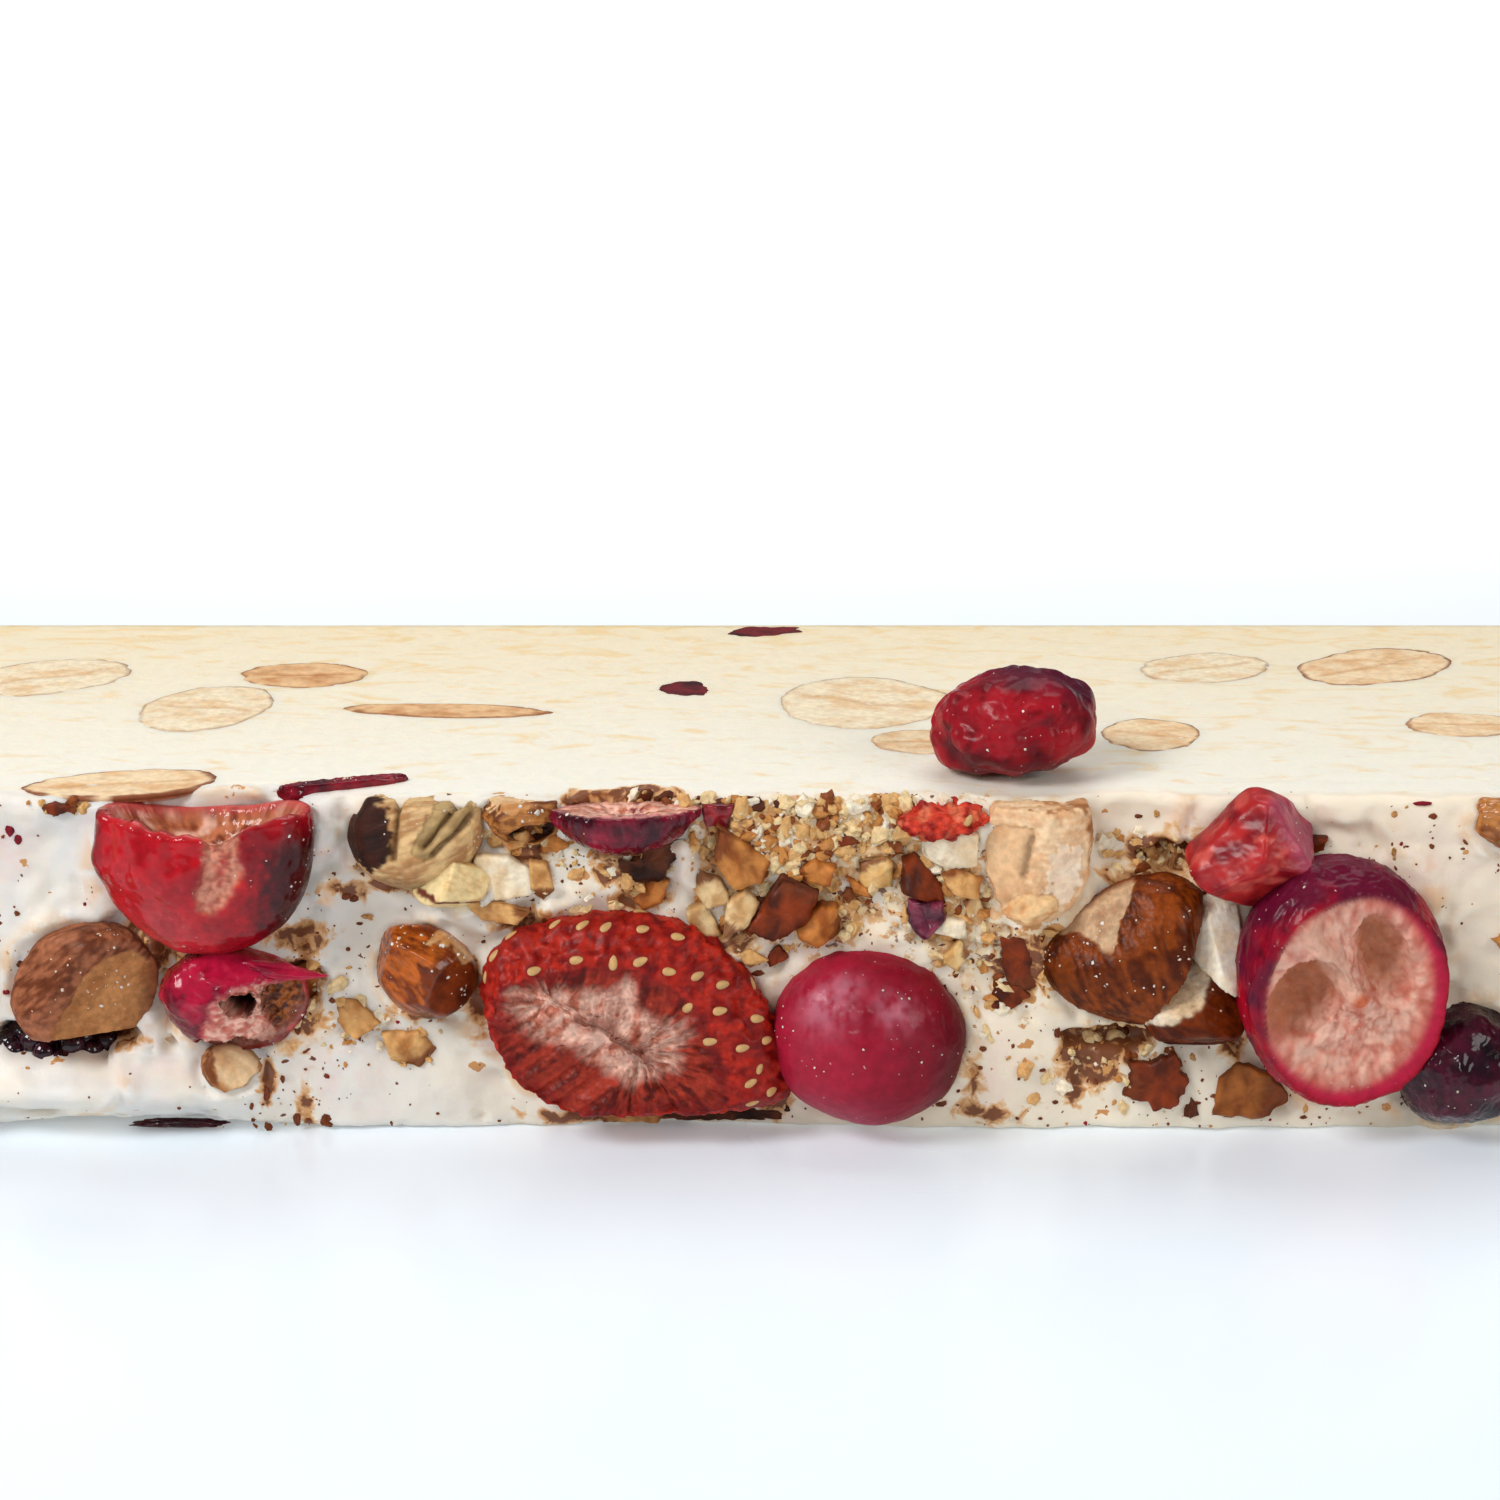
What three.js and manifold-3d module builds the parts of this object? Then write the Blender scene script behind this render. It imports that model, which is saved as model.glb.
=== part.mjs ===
// Nougat bar with nuts and dried fruit: one slice of a slab, lying on its cut side.
// Millimetres, +Z up. The decorated side, where nuts and fruit are pressed in, faces -Y.
// The origin is the middle of the flat underside.

import * as THREE from 'three';
import { ConvexGeometry } from 'three/addons/geometries/ConvexGeometry.js';
import { mergeVertices } from 'three/addons/utils/BufferGeometryUtils.js';
import Module from 'manifold-3d';

// Driving dimensions
const barLength = 150;
const barDepth = 45; // thickness of the slab that the slice was cut from
const barHeight = 24.5; // thickness of the slice
const cutEdge = 0.4; // the knife's edges are all but sharp
const softEdge = 0.9; // rounding of the decorated side's long edges
const gap = 0.3; // room left round each pressed-in piece

// Facets round, and from end to end, of the rounded forms and of the rooms cut for them
const facets = {
  large: [15, 9],
  usual: [12, 7],
  small: [10, 6],
  section: [9, 4],
  room: [9, 6],
  hollow: [8, 4],
};

const face = -barDepth / 2; // mean plane of the decorated side
const half = { length: barLength / 2, depth: barDepth / 2 };

const colours = {
  nougat: 0xf3ebdd,
  cranberry: 0x9c1530,
  darkCranberry: 0x4a1426,
  bramble: 0x2a1820,
  strawberry: 0xa92a20,
  candiedFruit: 0xc23c4a,
  almondSkin: 0x8a4a1e,
  nutHoney: 0xa8672c,
  nutPale: 0xe0c391,
};

const wasm = await Module();
wasm.setup();

// ---- Helpers: solids -------------------------------------------------------

function toSolid(geometry) {
  geometry.deleteAttribute('normal');
  geometry.deleteAttribute('uv');
  const merged = mergeVertices(geometry, 1e-4);
  return new wasm.Manifold(
    new wasm.Mesh({
      numProp: 3,
      vertProperties: new Float32Array(merged.attributes.position.array),
      triVerts: new Uint32Array(merged.index.array),
    })
  );
}

function toGeometry(solid) {
  const { vertProperties, triVerts } = solid.getMesh();
  const geometry = new THREE.BufferGeometry();
  geometry.setAttribute('position', new THREE.BufferAttribute(vertProperties, 3));
  geometry.setIndex(new THREE.BufferAttribute(triVerts, 1));
  return geometry;
}

// Cutting can leave scraps beside the piece: only the largest stays.
function largest(solid) {
  const scraps = solid.decompose();
  return scraps.reduce((most, scrap) => (scrap.volume() > most.volume() ? scrap : most));
}

function place(geometry, at, turn = [0, 0, 0]) {
  const angles = turn.map(THREE.MathUtils.degToRad);
  const rotation = new THREE.Quaternion().setFromEuler(new THREE.Euler(...angles));
  const matrix = new THREE.Matrix4();
  matrix.compose(new THREE.Vector3(...at), rotation, new THREE.Vector3(1, 1, 1));
  return geometry.applyMatrix4(matrix);
}

// A block that ends in a plane at `distance` from `centre` towards `facing`, to cut off what is past it.
function blockPast(centre, facing, distance) {
  const side = 60;
  const normal = new THREE.Vector3(...facing).normalize();
  const block = new THREE.BoxGeometry(side, side, side);
  const rotation = new THREE.Quaternion().setFromUnitVectors(new THREE.Vector3(1, 0, 0), normal);
  const middle = new THREE.Vector3(...centre).addScaledVector(normal, distance + side / 2);
  block.applyQuaternion(rotation).translate(middle.x, middle.y, middle.z);
  return toSolid(block);
}

function seededRandom(seed) {
  let state = seed * 7919 + 13;
  return () => {
    state = (state * 1664525 + 1013904223) % 4294967296;
    return state / 4294967296;
  };
}

// ---- Helpers: forms --------------------------------------------------------

// Waves over a unit sphere that make it as uneven as grown things are.
function unevenness(seed, depth, waves = 6, fineness = 4) {
  const random = seededRandom(seed);
  const set = Array.from({ length: waves }, () => ({
    way: new THREE.Vector3(random() - 0.5, random() - 0.5, random() - 0.5).setLength(fineness),
    phase: 2 * Math.PI * random(),
  }));
  return (p) => (depth * set.reduce((sum, w) => sum + Math.sin(w.way.dot(p) + w.phase), 0)) / waves;
}

// A ball with half sizes `size`, bent by `form`, which moves a point of the unit sphere.
function ball(size, form, grow, detail) {
  const geometry = new THREE.SphereGeometry(1, ...detail);
  geometry.rotateX(Math.PI / 2);
  const points = geometry.attributes.position;
  for (let i = 0; i < points.count; i++) {
    const out = new THREE.Vector3().fromBufferAttribute(points, i);
    const p = form(out.clone()).multiply(new THREE.Vector3(...size)).addScaledVector(out, grow);
    points.setXYZ(i, p.x, p.y, p.z);
  }
  return geometry;
}

const forms = {
  // a round berry with soft dents
  berry({ size, seed, dents = 0.08, detail = facets.usual }, grow) {
    const uneven = unevenness(seed, dents);
    return ball(size, (p) => p.multiplyScalar(1 + uneven(p)), grow, detail);
  },
  // a kernel that tapers towards its -X end
  kernel({ size, seed, taper = 0.45, dents = 0.05, detail = facets.small }, grow) {
    const uneven = unevenness(seed, dents);
    const form = (p) => {
      const narrow = 1 - taper * ((1 - p.x) / 2) ** 1.6;
      return new THREE.Vector3(p.x, p.y * narrow, p.z * narrow).multiplyScalar(1 + uneven(p));
    };
    return ball(size, form, grow, detail);
  },
  // an angular broken piece: a block with pushed-about corners and raised faces
  chunk({ size, seed, corner = 0.72 }, grow) {
    const random = seededRandom(seed);
    const points = [];
    const add = (x, y, z, reach) => {
      const out = new THREE.Vector3(x, y, z).normalize().multiplyScalar(grow);
      const p = [x, y, z].map((v, i) => v * size[i] * reach * (0.82 + 0.36 * random()));
      points.push(new THREE.Vector3(...p).add(out));
    };
    for (const x of [-1, 1]) {
      for (const y of [-1, 1]) {
        for (const z of [-1, 1]) {
          add(x, y, z, corner);
        }
      }
    }
    for (const side of [-1, 1]) {
      add(side, 0, 0, 1);
      add(0, side, 0, 1);
      add(0, 0, side, 1);
    }
    return new ConvexGeometry(points);
  },
  // a flat flake, thickest near its middle
  chip({ size, seed }) {
    const random = seededRandom(seed);
    const corners = 6;
    const points = [-1, 1].map((side) => new THREE.Vector3(0.2 * random() * size[0], side * size[1], 0));
    for (let i = 0; i < corners; i++) {
      const angle = (2 * Math.PI * (i + 0.6 * random())) / corners;
      const reach = 0.75 + 0.35 * random();
      const rim = new THREE.Vector3(Math.cos(angle), 0, Math.sin(angle)).multiplyScalar(reach);
      points.push(rim.multiply(new THREE.Vector3(...size)));
    }
    return new ConvexGeometry(points);
  },
  // a cluster of drupelets
  bramble({ size, detail = [14, 8] }, grow) {
    const form = (p) => {
      const around = Math.abs(Math.sin(5 * Math.atan2(p.y, p.x)));
      const along = Math.abs(Math.sin(5 * Math.acos(THREE.MathUtils.clamp(p.z, -1, 1))));
      return p.multiplyScalar(0.86 + 0.14 * around * along);
    };
    return ball(size, form, grow, detail);
  },
};

// A skin over closed rings of equally many points, shut by a fan at each end.
function skinOver(rings) {
  const perRing = rings[0].length;
  const points = rings.flat();
  const index = [];
  for (let r = 0; r + 1 < rings.length; r++) {
    for (let i = 0; i < perRing; i++) {
      const a = r * perRing + i;
      const b = r * perRing + ((i + 1) % perRing);
      index.push(a, b, b + perRing, a, b + perRing, a + perRing);
    }
  }
  const shut = (ring, first, flip) => {
    const centre = points.length;
    const sum = ring.reduce((total, p) => total.map((v, k) => v + p[k]), [0, 0, 0]);
    points.push(sum.map((v) => v / perRing));
    for (let i = 0; i < perRing; i++) {
      const a = first + i;
      const b = first + ((i + 1) % perRing);
      index.push(centre, flip ? b : a, flip ? a : b);
    }
  };
  shut(rings[0], 0, true);
  shut(rings[rings.length - 1], (rings.length - 1) * perRing, false);
  const geometry = new THREE.BufferGeometry();
  geometry.setAttribute('position', new THREE.Float32BufferAttribute(points.flat(), 3));
  geometry.setIndex(index);
  return geometry;
}

// ---- The nougat ------------------------------------------------------------

// Soft swells (+) and dents (-) of the decorated side: where, how wide, how far out.
const swells = [
  { x: -47, z: 3.0, wide: 10, tall: 2.6, out: 2.9 }, // lip at the lower left
  { x: -36, z: 3.0, wide: 4, tall: 2.2, out: 1.4 },
  { x: -27, z: 16.5, wide: 5, tall: 4.5, out: -1.5 },
  { x: -16.5, z: 18, wide: 4, tall: 2, out: 0.8 },
  { x: -50, z: 20, wide: 6, tall: 4, out: -0.8 },
  { x: -5, z: 0.5, wide: 9, tall: 1.6, out: -1.2 },
  { x: 18, z: 5.5, wide: 5, tall: 4, out: 0.9 },
  { x: 26.5, z: 22.5, wide: 4, tall: 2.6, out: -1.7 },
  { x: 31, z: 3, wide: 6, tall: 2.5, out: 0.6 },
  { x: 50, z: 12.5, wide: 6, tall: 3, out: -0.9 },
  { x: -64, z: 13, wide: 5, tall: 4, out: -1.0 },
  { x: 65, z: 3.5, wide: 7, tall: 3, out: 1.0 },
];

function outward(x, z) {
  const ripple = 0.25 * Math.sin(0.43 * x + 0.9) * Math.sin(0.37 * z + 0.4);
  return swells.reduce(
    (sum, s) => sum + s.out * Math.exp(-(((x - s.x) / s.wide) ** 2) - ((z - s.z) / s.tall) ** 2),
    ripple
  );
}

// The lip at the lower left lifts off the table a little.
const lift = (x) => 1.1 * Math.exp(-(((x + 43) / 10) ** 2));

// Heights at which a section of the decorated side has a point, from the top down.
const rowHeights = [23.9, 22, 19.2, 16.2, 13.2, 10.2, 7.4, 5, 3, 0.8];

function nougatSection(x, inset) {
  const back = half.depth - inset;
  const low = inset;
  const high = barHeight - inset;
  const section = [
    [back - cutEdge, low],
    [back, low + cutEdge],
    [back, high - cutEdge],
    [back - cutEdge, high],
    [face - outward(x, barHeight) + softEdge, high],
  ];
  for (const z of rowHeights) {
    const edge = softEdge * (Math.max(0, 1 - (barHeight - z) / 1.2) ** 2 + Math.max(0, 1 - z / 1.6) ** 2);
    const raised = z + lift(x) * Math.max(0, 1 - z / 5);
    section.push([face - outward(x, z) + edge + inset, Math.min(raised, high)]);
  }
  section.push([face - outward(x, 0) + 1.5, low + lift(x)]);
  section.push([face + 4, low]);
  return section.map(([y, z]) => [x, y, z]);
}

function nougatBlock() {
  const stations = 40;
  const rings = [nougatSection(-half.length, cutEdge)];
  for (let i = 0; i <= stations; i++) {
    const x = -half.length + cutEdge + ((barLength - 2 * cutEdge) * i) / stations;
    rings.push(nougatSection(x, 0));
  }
  rings.push(nougatSection(half.length, cutEdge));
  return toSolid(skinOver(rings));
}

// ---- Pieces pressed into it ------------------------------------------------

// The space that the knife's cuts leave: what is flush ends on these planes.
const insideCuts = toSolid(
  new THREE.BoxGeometry(barLength, barDepth + 20, barHeight).translate(0, -10, barHeight / 2)
);

// Each is { name, colour, solid, room, rests }: the room is what it takes out of its neighbours.
const pieces = [];

// The room for a piece has fewer facets, and grows by what flat facets take off a round form.
function roomFor(form, spec, detail = facets.room) {
  const lost = form === forms.chunk ? 0 : Math.max(...spec.size) * (1 - Math.cos(Math.PI / detail[0]));
  if (form === forms.bramble) {
    return forms.berry({ ...spec, seed: 1, dents: 0, detail }, gap + lost);
  }
  return form({ ...spec, detail }, gap + lost);
}

function addPiece(name, colour, solid, room, { flush = false, rests = false } = {}) {
  let fitted = flush ? solid.intersect(insideCuts) : solid;
  for (const earlier of pieces) {
    fitted = fitted.subtract(earlier.room);
  }
  pieces.push({ name, colour, solid: largest(fitted), room, rests });
}

// A piece of one of the forms. `at` is x, how far its middle stands out of the decorated side, z.
// `cuts` are flat breaks: where they face, and how far from the middle. `hollows` are scooped out.
function press(name, colour, spec) {
  const { form, at, turn, cuts = [], hollows = [], lumps = [], flush, rests = false } = spec;
  const middle = [at[0], face - at[1], at[2]];
  const near = ({ at: offset, size, turn: ownTurn }) => {
    const spot = offset.map((v, i) => v + middle[i]);
    return toSolid(place(ball(size, (p) => p, 0, facets.hollow), spot, ownTurn));
  };
  let solid = toSolid(place(forms[form](spec, 0), middle, turn));
  for (const [facing, distance] of cuts) {
    solid = solid.subtract(blockPast(middle, facing, distance));
  }
  for (const lump of lumps) {
    solid = solid.add(near(lump));
  }
  for (const hollow of hollows) {
    solid = solid.subtract(near(hollow));
  }
  let room = toSolid(place(roomFor(forms[form], spec), middle, turn));
  for (const lump of lumps) {
    room = room.add(near({ ...lump, size: lump.size.map((v) => v + gap) }));
  }
  addPiece(name, colour, solid, room, { flush, rests });
}

// A strawberry slice: the flat cut face in front, and behind it the rounded skin, set with seeds.
const sliceOutline = [
  [-10.6, 1.8], [-9.6, 4.6], [-6.6, 6.5], [-1.4, 7.4], [3.9, 6.4], [7.2, 3.6],
  [9.6, -0.5], [10.6, -4.7], [10.2, -7.1], [3.8, -7.6], [-3.0, -7.6], [-7.3, -5.5], [-9.7, -2.0],
];

// From the back to the cut face: share of the outline, share of the thickness, shift to the left.
const sliceSteps = [
  [0.86, 1, 0],
  [0.98, 0.62, 0],
  [1, 0.4, 0],
  [0.96, 0.14, -0.35],
  [0.88, 0, -0.8],
];

function strawberrySlice({ name, at, turn = 0, scale = 1, thick, seeds, around }) {
  const curve = new THREE.CatmullRomCurve3(
    sliceOutline.map(([x, z]) => new THREE.Vector3(x * scale, 0, z * scale)),
    true
  );
  const middle = [at[0], face - at[1], at[2]];
  const inPlace = (geometry) => toSolid(place(geometry, middle, [0, turn, 0]));
  const ring = ([share, back, shift], grow, corners) =>
    curve.getPoints(corners).slice(0, corners).reverse().map((p) => {
      const out = p.clone().normalize().multiplyScalar(grow);
      const y = back * thick + grow * (2 * back - 1);
      return [p.x * share + shift + out.x, y, p.z * share + 0.6 * shift + out.z];
    });
  const slice = (grow, corners) => inPlace(skinOver(sliceSteps.map((step) => ring(step, grow, corners))));

  let solid = slice(0, around);
  const random = seededRandom(31);
  const seedForm = [0.5, 0.35, 0.8];
  for (let i = 0; i < seeds; i++) {
    // along the top and the right-hand side, in two rows
    const spot = curve.getPointAt(THREE.MathUtils.lerp(0.03, 0.56, (i + 0.5) / seeds));
    const [reach, back] = i % 2 ? [0.985, 0.36] : [0.93, 0.06];
    const seed = new THREE.IcosahedronGeometry(1, 0).scale(...seedForm);
    seed.rotateY(Math.atan2(spot.x, spot.z) + 0.5 * (random() - 0.5));
    seed.translate(spot.x * reach, back * thick, spot.z * reach);
    solid = solid.add(inPlace(seed));
  }
  addPiece(name, colours.strawberry, largest(solid), slice(2 * gap, 0.75 * around));
}

// Toppings of the decorated side. The first pieces lie on the later ones, which are fitted round them.
press('cranberry_open', colours.cranberry, {
  form: 'berry', at: [40.3, 3.0, 12.3], size: [7.4, 5.8, 9.1], turn: [0, -11, 0], seed: 3, dents: 0.03,
  detail: facets.large,
  cuts: [[[0.12, -0.98, -0.1], 2.8]],
  hollows: [
    { at: [-2.7, -2.9, -0.3], size: [2.1, 2.8, 2.9], turn: [0, 25, 0] },
    { at: [2.3, -2.9, 1.7], size: [1.9, 2.8, 3.6], turn: [0, -18, 0] },
  ],
});
press('fruit_chunk', colours.candiedFruit, {
  form: 'chunk', at: [33.7, 1.4, 21.6], size: [3.2, 3.1, 4.2], turn: [8, 33, 6], seed: 12, corner: 0.8,
});
press('cranberry_whole', colours.cranberry, {
  form: 'berry', at: [8.3, 0.4, 8.4], size: [6.9, 5.2, 6.5], turn: [0, 20, 0], seed: 8, dents: 0.03,
  detail: facets.large,
});
strawberrySlice({ name: 'strawberry_slice', at: [-8.1, 4.4, 9.8], thick: 5.4, seeds: 20, around: 24 });
press('nut_cream', colours.nutPale, {
  form: 'chunk', at: [31.8, 0.8, 13.3], size: [1.9, 2.6, 3.9], seed: 21, corner: 0.85,
});
press('almond_big', colours.almondSkin, {
  form: 'kernel', at: [26.8, 0.5, 13.6], size: [6.9, 4.6, 6.0], turn: [0, -12, 0], seed: 5, taper: 0.4,
  detail: facets.large,
  cuts: [[[-0.5, -0.72, 0.48], 3.75], [[0.85, -0.5, 0.1], 5.0]],
});
press('almond_small', colours.almondSkin, {
  form: 'kernel', at: [30.8, 1.2, 9.8], size: [3.7, 2.8, 2.6], turn: [0, 20, 0], seed: 9,
  cuts: [[[-0.3, -0.6, 0.74], 1.7]],
});
press('cranberry_dark', colours.darkCranberry, {
  form: 'berry', at: [49.3, -0.2, 5.2], size: [5.4, 4.8, 4.6], seed: 15, dents: 0.12,
});
press('nut_pale', colours.nutPale, {
  form: 'berry', at: [19.6, -1.5, 20.9], size: [4.0, 4.2, 5.4], seed: 27, dents: 0.14, flush: true,
  lumps: [{ at: [0.6, -3.2, -3.9], size: [2.1, 1.1, 1.2], turn: [0, -15, 0] }],
});
press('strawberry_bit', colours.strawberry, {
  form: 'berry', at: [13.2, 0.3, 23.2], size: [3.4, 2.0, 1.5], turn: [0, -6, 0], seed: 33, dents: 0.22,
  flush: true,
});
press('cranberry_cup', colours.cranberry, {
  form: 'berry', at: [-36.9, 1.4, 22.2], size: [7.6, 4.3, 8.5], seed: 41, dents: 0.04, flush: true,
  detail: facets.large,
  hollows: [
    { at: [0.2, -0.6, 3.9], size: [5.9, 3.3, 5.0] },
    { at: [-0.2, -3.6, 2.9], size: [2.4, 2.4, 2.3], turn: [0, 30, 0] },
    { at: [0.2, -4.6, -2.4], size: [1.3, 1.1, 5.2], turn: [0, 12, 0] },
  ],
});
press('cranberry_strip', colours.darkCranberry, {
  form: 'kernel', at: [-30.6, -1.9, 24.0], size: [7.4, 1.0, 1.5], turn: [0, 0, 17], seed: 44, taper: 0.2,
  flush: true,
});
press('almond_left', colours.almondSkin, {
  form: 'kernel', at: [-46.0, 0.3, 11.2], size: [5.5, 4.2, 4.4], turn: [0, -25, 0], seed: 51, taper: 0.25,
  cuts: [[[0.5, -0.84, -0.12], 2.3], [[0, -0.1, -1], 4.2]],
});
press('bramble_berry', colours.bramble, {
  form: 'bramble', at: [-48.7, -1.9, 4.6], size: [6.2, 3.0, 3.6],
});
press('cranberry_torn', colours.cranberry, {
  form: 'berry', at: [-35.5, 1.0, 10.7], size: [5.3, 3.7, 4.3], turn: [0, 20, 0], seed: 57, dents: 0.1,
  cuts: [[[0.5, -0.8, -0.3], 1.5]],
  hollows: [
    { at: [0.8, -1.9, 0.5], size: [0.85, 2.4, 0.95] },
    { at: [3.8, -1.4, 0.6], size: [1.8, 2.2, 0.8], turn: [0, -25, 0] },
  ],
  lumps: [{ at: [3.9, -1.2, 2.7], size: [2.9, 0.7, 0.6], turn: [0, 6, 0] }],
});
press('nut_under_cranberry', colours.nutPale, {
  form: 'kernel', at: [-36.1, 0.6, 5.9], size: [2.9, 2.4, 2.3], turn: [0, 60, 0], seed: 62,
  cuts: [[[0.2, -0.95, 0.2], 1.4]],
});
press('nut_layered', colours.nutPale, {
  form: 'berry', at: [-22.9, -0.7, 21.9], size: [4.8, 3.5, 4.2], turn: [0, -20, 0], seed: 66, dents: 0.12,
  flush: true, detail: facets.small,
  hollows: [
    { at: [-0.2, -3.1, 0.6], size: [0.5, 1.3, 3.6], turn: [0, 42, 0] },
    { at: [2.3, -2.8, 0.8], size: [0.5, 1.4, 3.2], turn: [0, 38, 0] },
  ],
});
press('nut_yellow', colours.nutPale, {
  form: 'chunk', at: [-20.6, 0.9, 19.2], size: [2.9, 2.4, 2.4], turn: [0, 25, 0], seed: 71,
});
press('nut_honey', colours.nutHoney, {
  form: 'berry', at: [-15.5, -0.8, 23.1], size: [2.9, 3.0, 2.3], seed: 75, dents: 0.2,
  flush: true, detail: facets.small,
  hollows: [{ at: [0.3, -2.4, -0.2], size: [1.3, 1.6, 1.0] }],
});
press('cranberry_boat', colours.cranberry, {
  form: 'berry', at: [-8.5, 1.0, 24.1], size: [5.3, 3.2, 3.1], turn: [0, -3, 0], seed: 80, dents: 0.05,
  flush: true,
  cuts: [[[-0.02, -0.15, 1], 0.0]],
  hollows: [{ at: [0, -0.4, 0.9], size: [4.0, 2.0, 1.5] }],
});
press('almond_honey', colours.nutHoney, {
  form: 'kernel', at: [-22.4, 0.4, 12.3], size: [3.9, 3.4, 3.5], turn: [0, 40, 0], seed: 84, taper: 0.3,
  cuts: [[[-0.35, -0.9, 0.2], 2.3]],
});
press('nut_right_edge', colours.nutHoney, {
  form: 'kernel', at: [52.8, -1.2, 23.0], size: [3.9, 3.4, 3.2], seed: 88, flush: true,
});
press('cranberry_sliver', colours.darkCranberry, {
  form: 'kernel', at: [-40.0, 0.6, 0.5], size: [3.6, 1.5, 0.4], seed: 90,
});

// The same kinds of topping go on to both ends.
press('cranberry_far_left', colours.cranberry, {
  form: 'berry', at: [-61.3, 0.6, 7.2], size: [6.4, 4.8, 5.5], turn: [0, 15, 0], seed: 101, dents: 0.03,
});
press('nut_far_left', colours.nutPale, {
  form: 'chunk', at: [-58.0, 0.2, 19.3], size: [3.8, 3.0, 3.4], turn: [0, 20, 0], seed: 104,
});
press('almond_far_left', colours.almondSkin, {
  form: 'kernel', at: [-67.3, 0.5, 17.0], size: [5.8, 3.8, 4.6], turn: [0, 35, 0], seed: 107,
  cuts: [[[-0.3, -0.8, 0.5], 3.0]],
});
press('fruit_far_left', colours.candiedFruit, {
  form: 'chunk', at: [-70.9, 0.8, 6.2], size: [2.8, 2.6, 3.3], turn: [0, 30, 0], seed: 110,
});
press('cranberry_far_right', colours.cranberry, {
  form: 'berry', at: [68.3, 1.6, 14.0], size: [5.4, 4.8, 7.2], turn: [0, 14, 0], seed: 121, dents: 0.04,
  cuts: [[[-0.1, -0.98, 0.1], 2.4]],
  hollows: [{ at: [0, -2.5, 0], size: [2.2, 2.4, 4.0], turn: [0, 14, 0] }],
});
strawberrySlice({
  name: 'strawberry_far_right', at: [62.0, 3.4, 5.0], turn: 8, scale: 0.5, thick: 3.8, seeds: 4, around: 16,
});
press('almond_far_right', colours.almondSkin, {
  form: 'kernel', at: [60.2, 0.4, 15.2], size: [5.6, 3.8, 4.4], turn: [0, -30, 0], seed: 127,
});

// One dried cranberry lies on the cut top, pressed flat where it rests.
press('cranberry_on_top', colours.darkCranberry, {
  form: 'berry', at: [18.4, -5.9, barHeight + 3.45], size: [5.7, 4.9, 3.9], turn: [0, -12, 0],
  seed: 131, dents: 0.14, detail: facets.large,
  cuts: [[[0, 0, -1], 3.4]],
  rests: true,
});

// Nuts and fruit that the knife went through end flush with the cut. `size` is the section's half sizes.
const sections = {
  top: [
    { name: 'almond_cut_01', at: [-43.3, -19.2], size: [6.6, 2.9], turn: 10 },
    { name: 'nut_cut_02', at: [-40.6, -1.2], size: [4.6, 6.0], turn: -20 },
    { name: 'almond_cut_03', at: [-34.2, 7.5], size: [4.9, 3.4], turn: 0 },
    { name: 'nut_cut_04', at: [-54.0, 7.0], size: [6.4, 4.6], turn: 25 },
    { name: 'almond_cut_05', at: [-22.5, -1.8], size: [7.6, 1.8], turn: -4 },
    { name: 'fruit_cut_06', at: [-5.0, 3.8], size: [1.8, 2.0], turn: 30 },
    { name: 'almond_cut_07', at: [8.4, 0.4], size: [6.4, 6.6], turn: -15 },
    { name: 'nut_cut_08', at: [12.4, -9.6], size: [3.6, 3.0], turn: 0 },
    { name: 'almond_cut_09', at: [28.7, -7.8], size: [3.5, 4.0], turn: -20 },
    { name: 'nut_cut_10', at: [35.3, 9.6], size: [5.2, 3.9], turn: 20 },
    { name: 'almond_cut_11', at: [48.2, 9.9], size: [6.9, 4.4], turn: 32 },
    { name: 'almond_cut_12', at: [52.2, -5.4], size: [4.3, 3.0], turn: 0 },
    { name: 'fruit_cut_13', at: [1.2, 20.3], size: [3.0, 1.4], turn: 10 },
    { name: 'almond_cut_14', at: [-66.5, -8.0], size: [5.4, 4.0], turn: 40 },
    { name: 'nut_cut_15', at: [67.0, 3.0], size: [4.2, 5.0], turn: 15 },
  ],
  underside: [{ name: 'almond_cut_16', at: [-30.0, 4.0], size: [6.0, 4.2], turn: 30 }],
  left: [{ name: 'almond_cut_17', at: [-5.0, 13.0], size: [3.8, 5.6], turn: 20 }],
  right: [{ name: 'almond_cut_18', at: [4.0, 11.0], size: [3.8, 6.0], turn: -25 }],
  back: [
    { name: 'almond_cut_19', at: [-38.0, 12.0], size: [6.4, 4.2], turn: 15 },
    { name: 'almond_cut_20', at: [27.0, 10.0], size: [5.8, 3.9], turn: -30 },
  ],
};

// Where the middle of a section lies on each cut plane, and the tilt that turns a level section on to it.
const planes = {
  top: { middle: ([x, y]) => [x, y, barHeight], tilt: [0, 0] },
  underside: { middle: ([x, y]) => [x, y, 0], tilt: [0, 0] },
  left: { middle: ([y, z]) => [-half.length, y, z], tilt: [0, 90] },
  right: { middle: ([y, z]) => [half.length, y, z], tilt: [0, 90] },
  back: { middle: ([x, z]) => [x, half.depth, z], tilt: [90, 0] },
};

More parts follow.
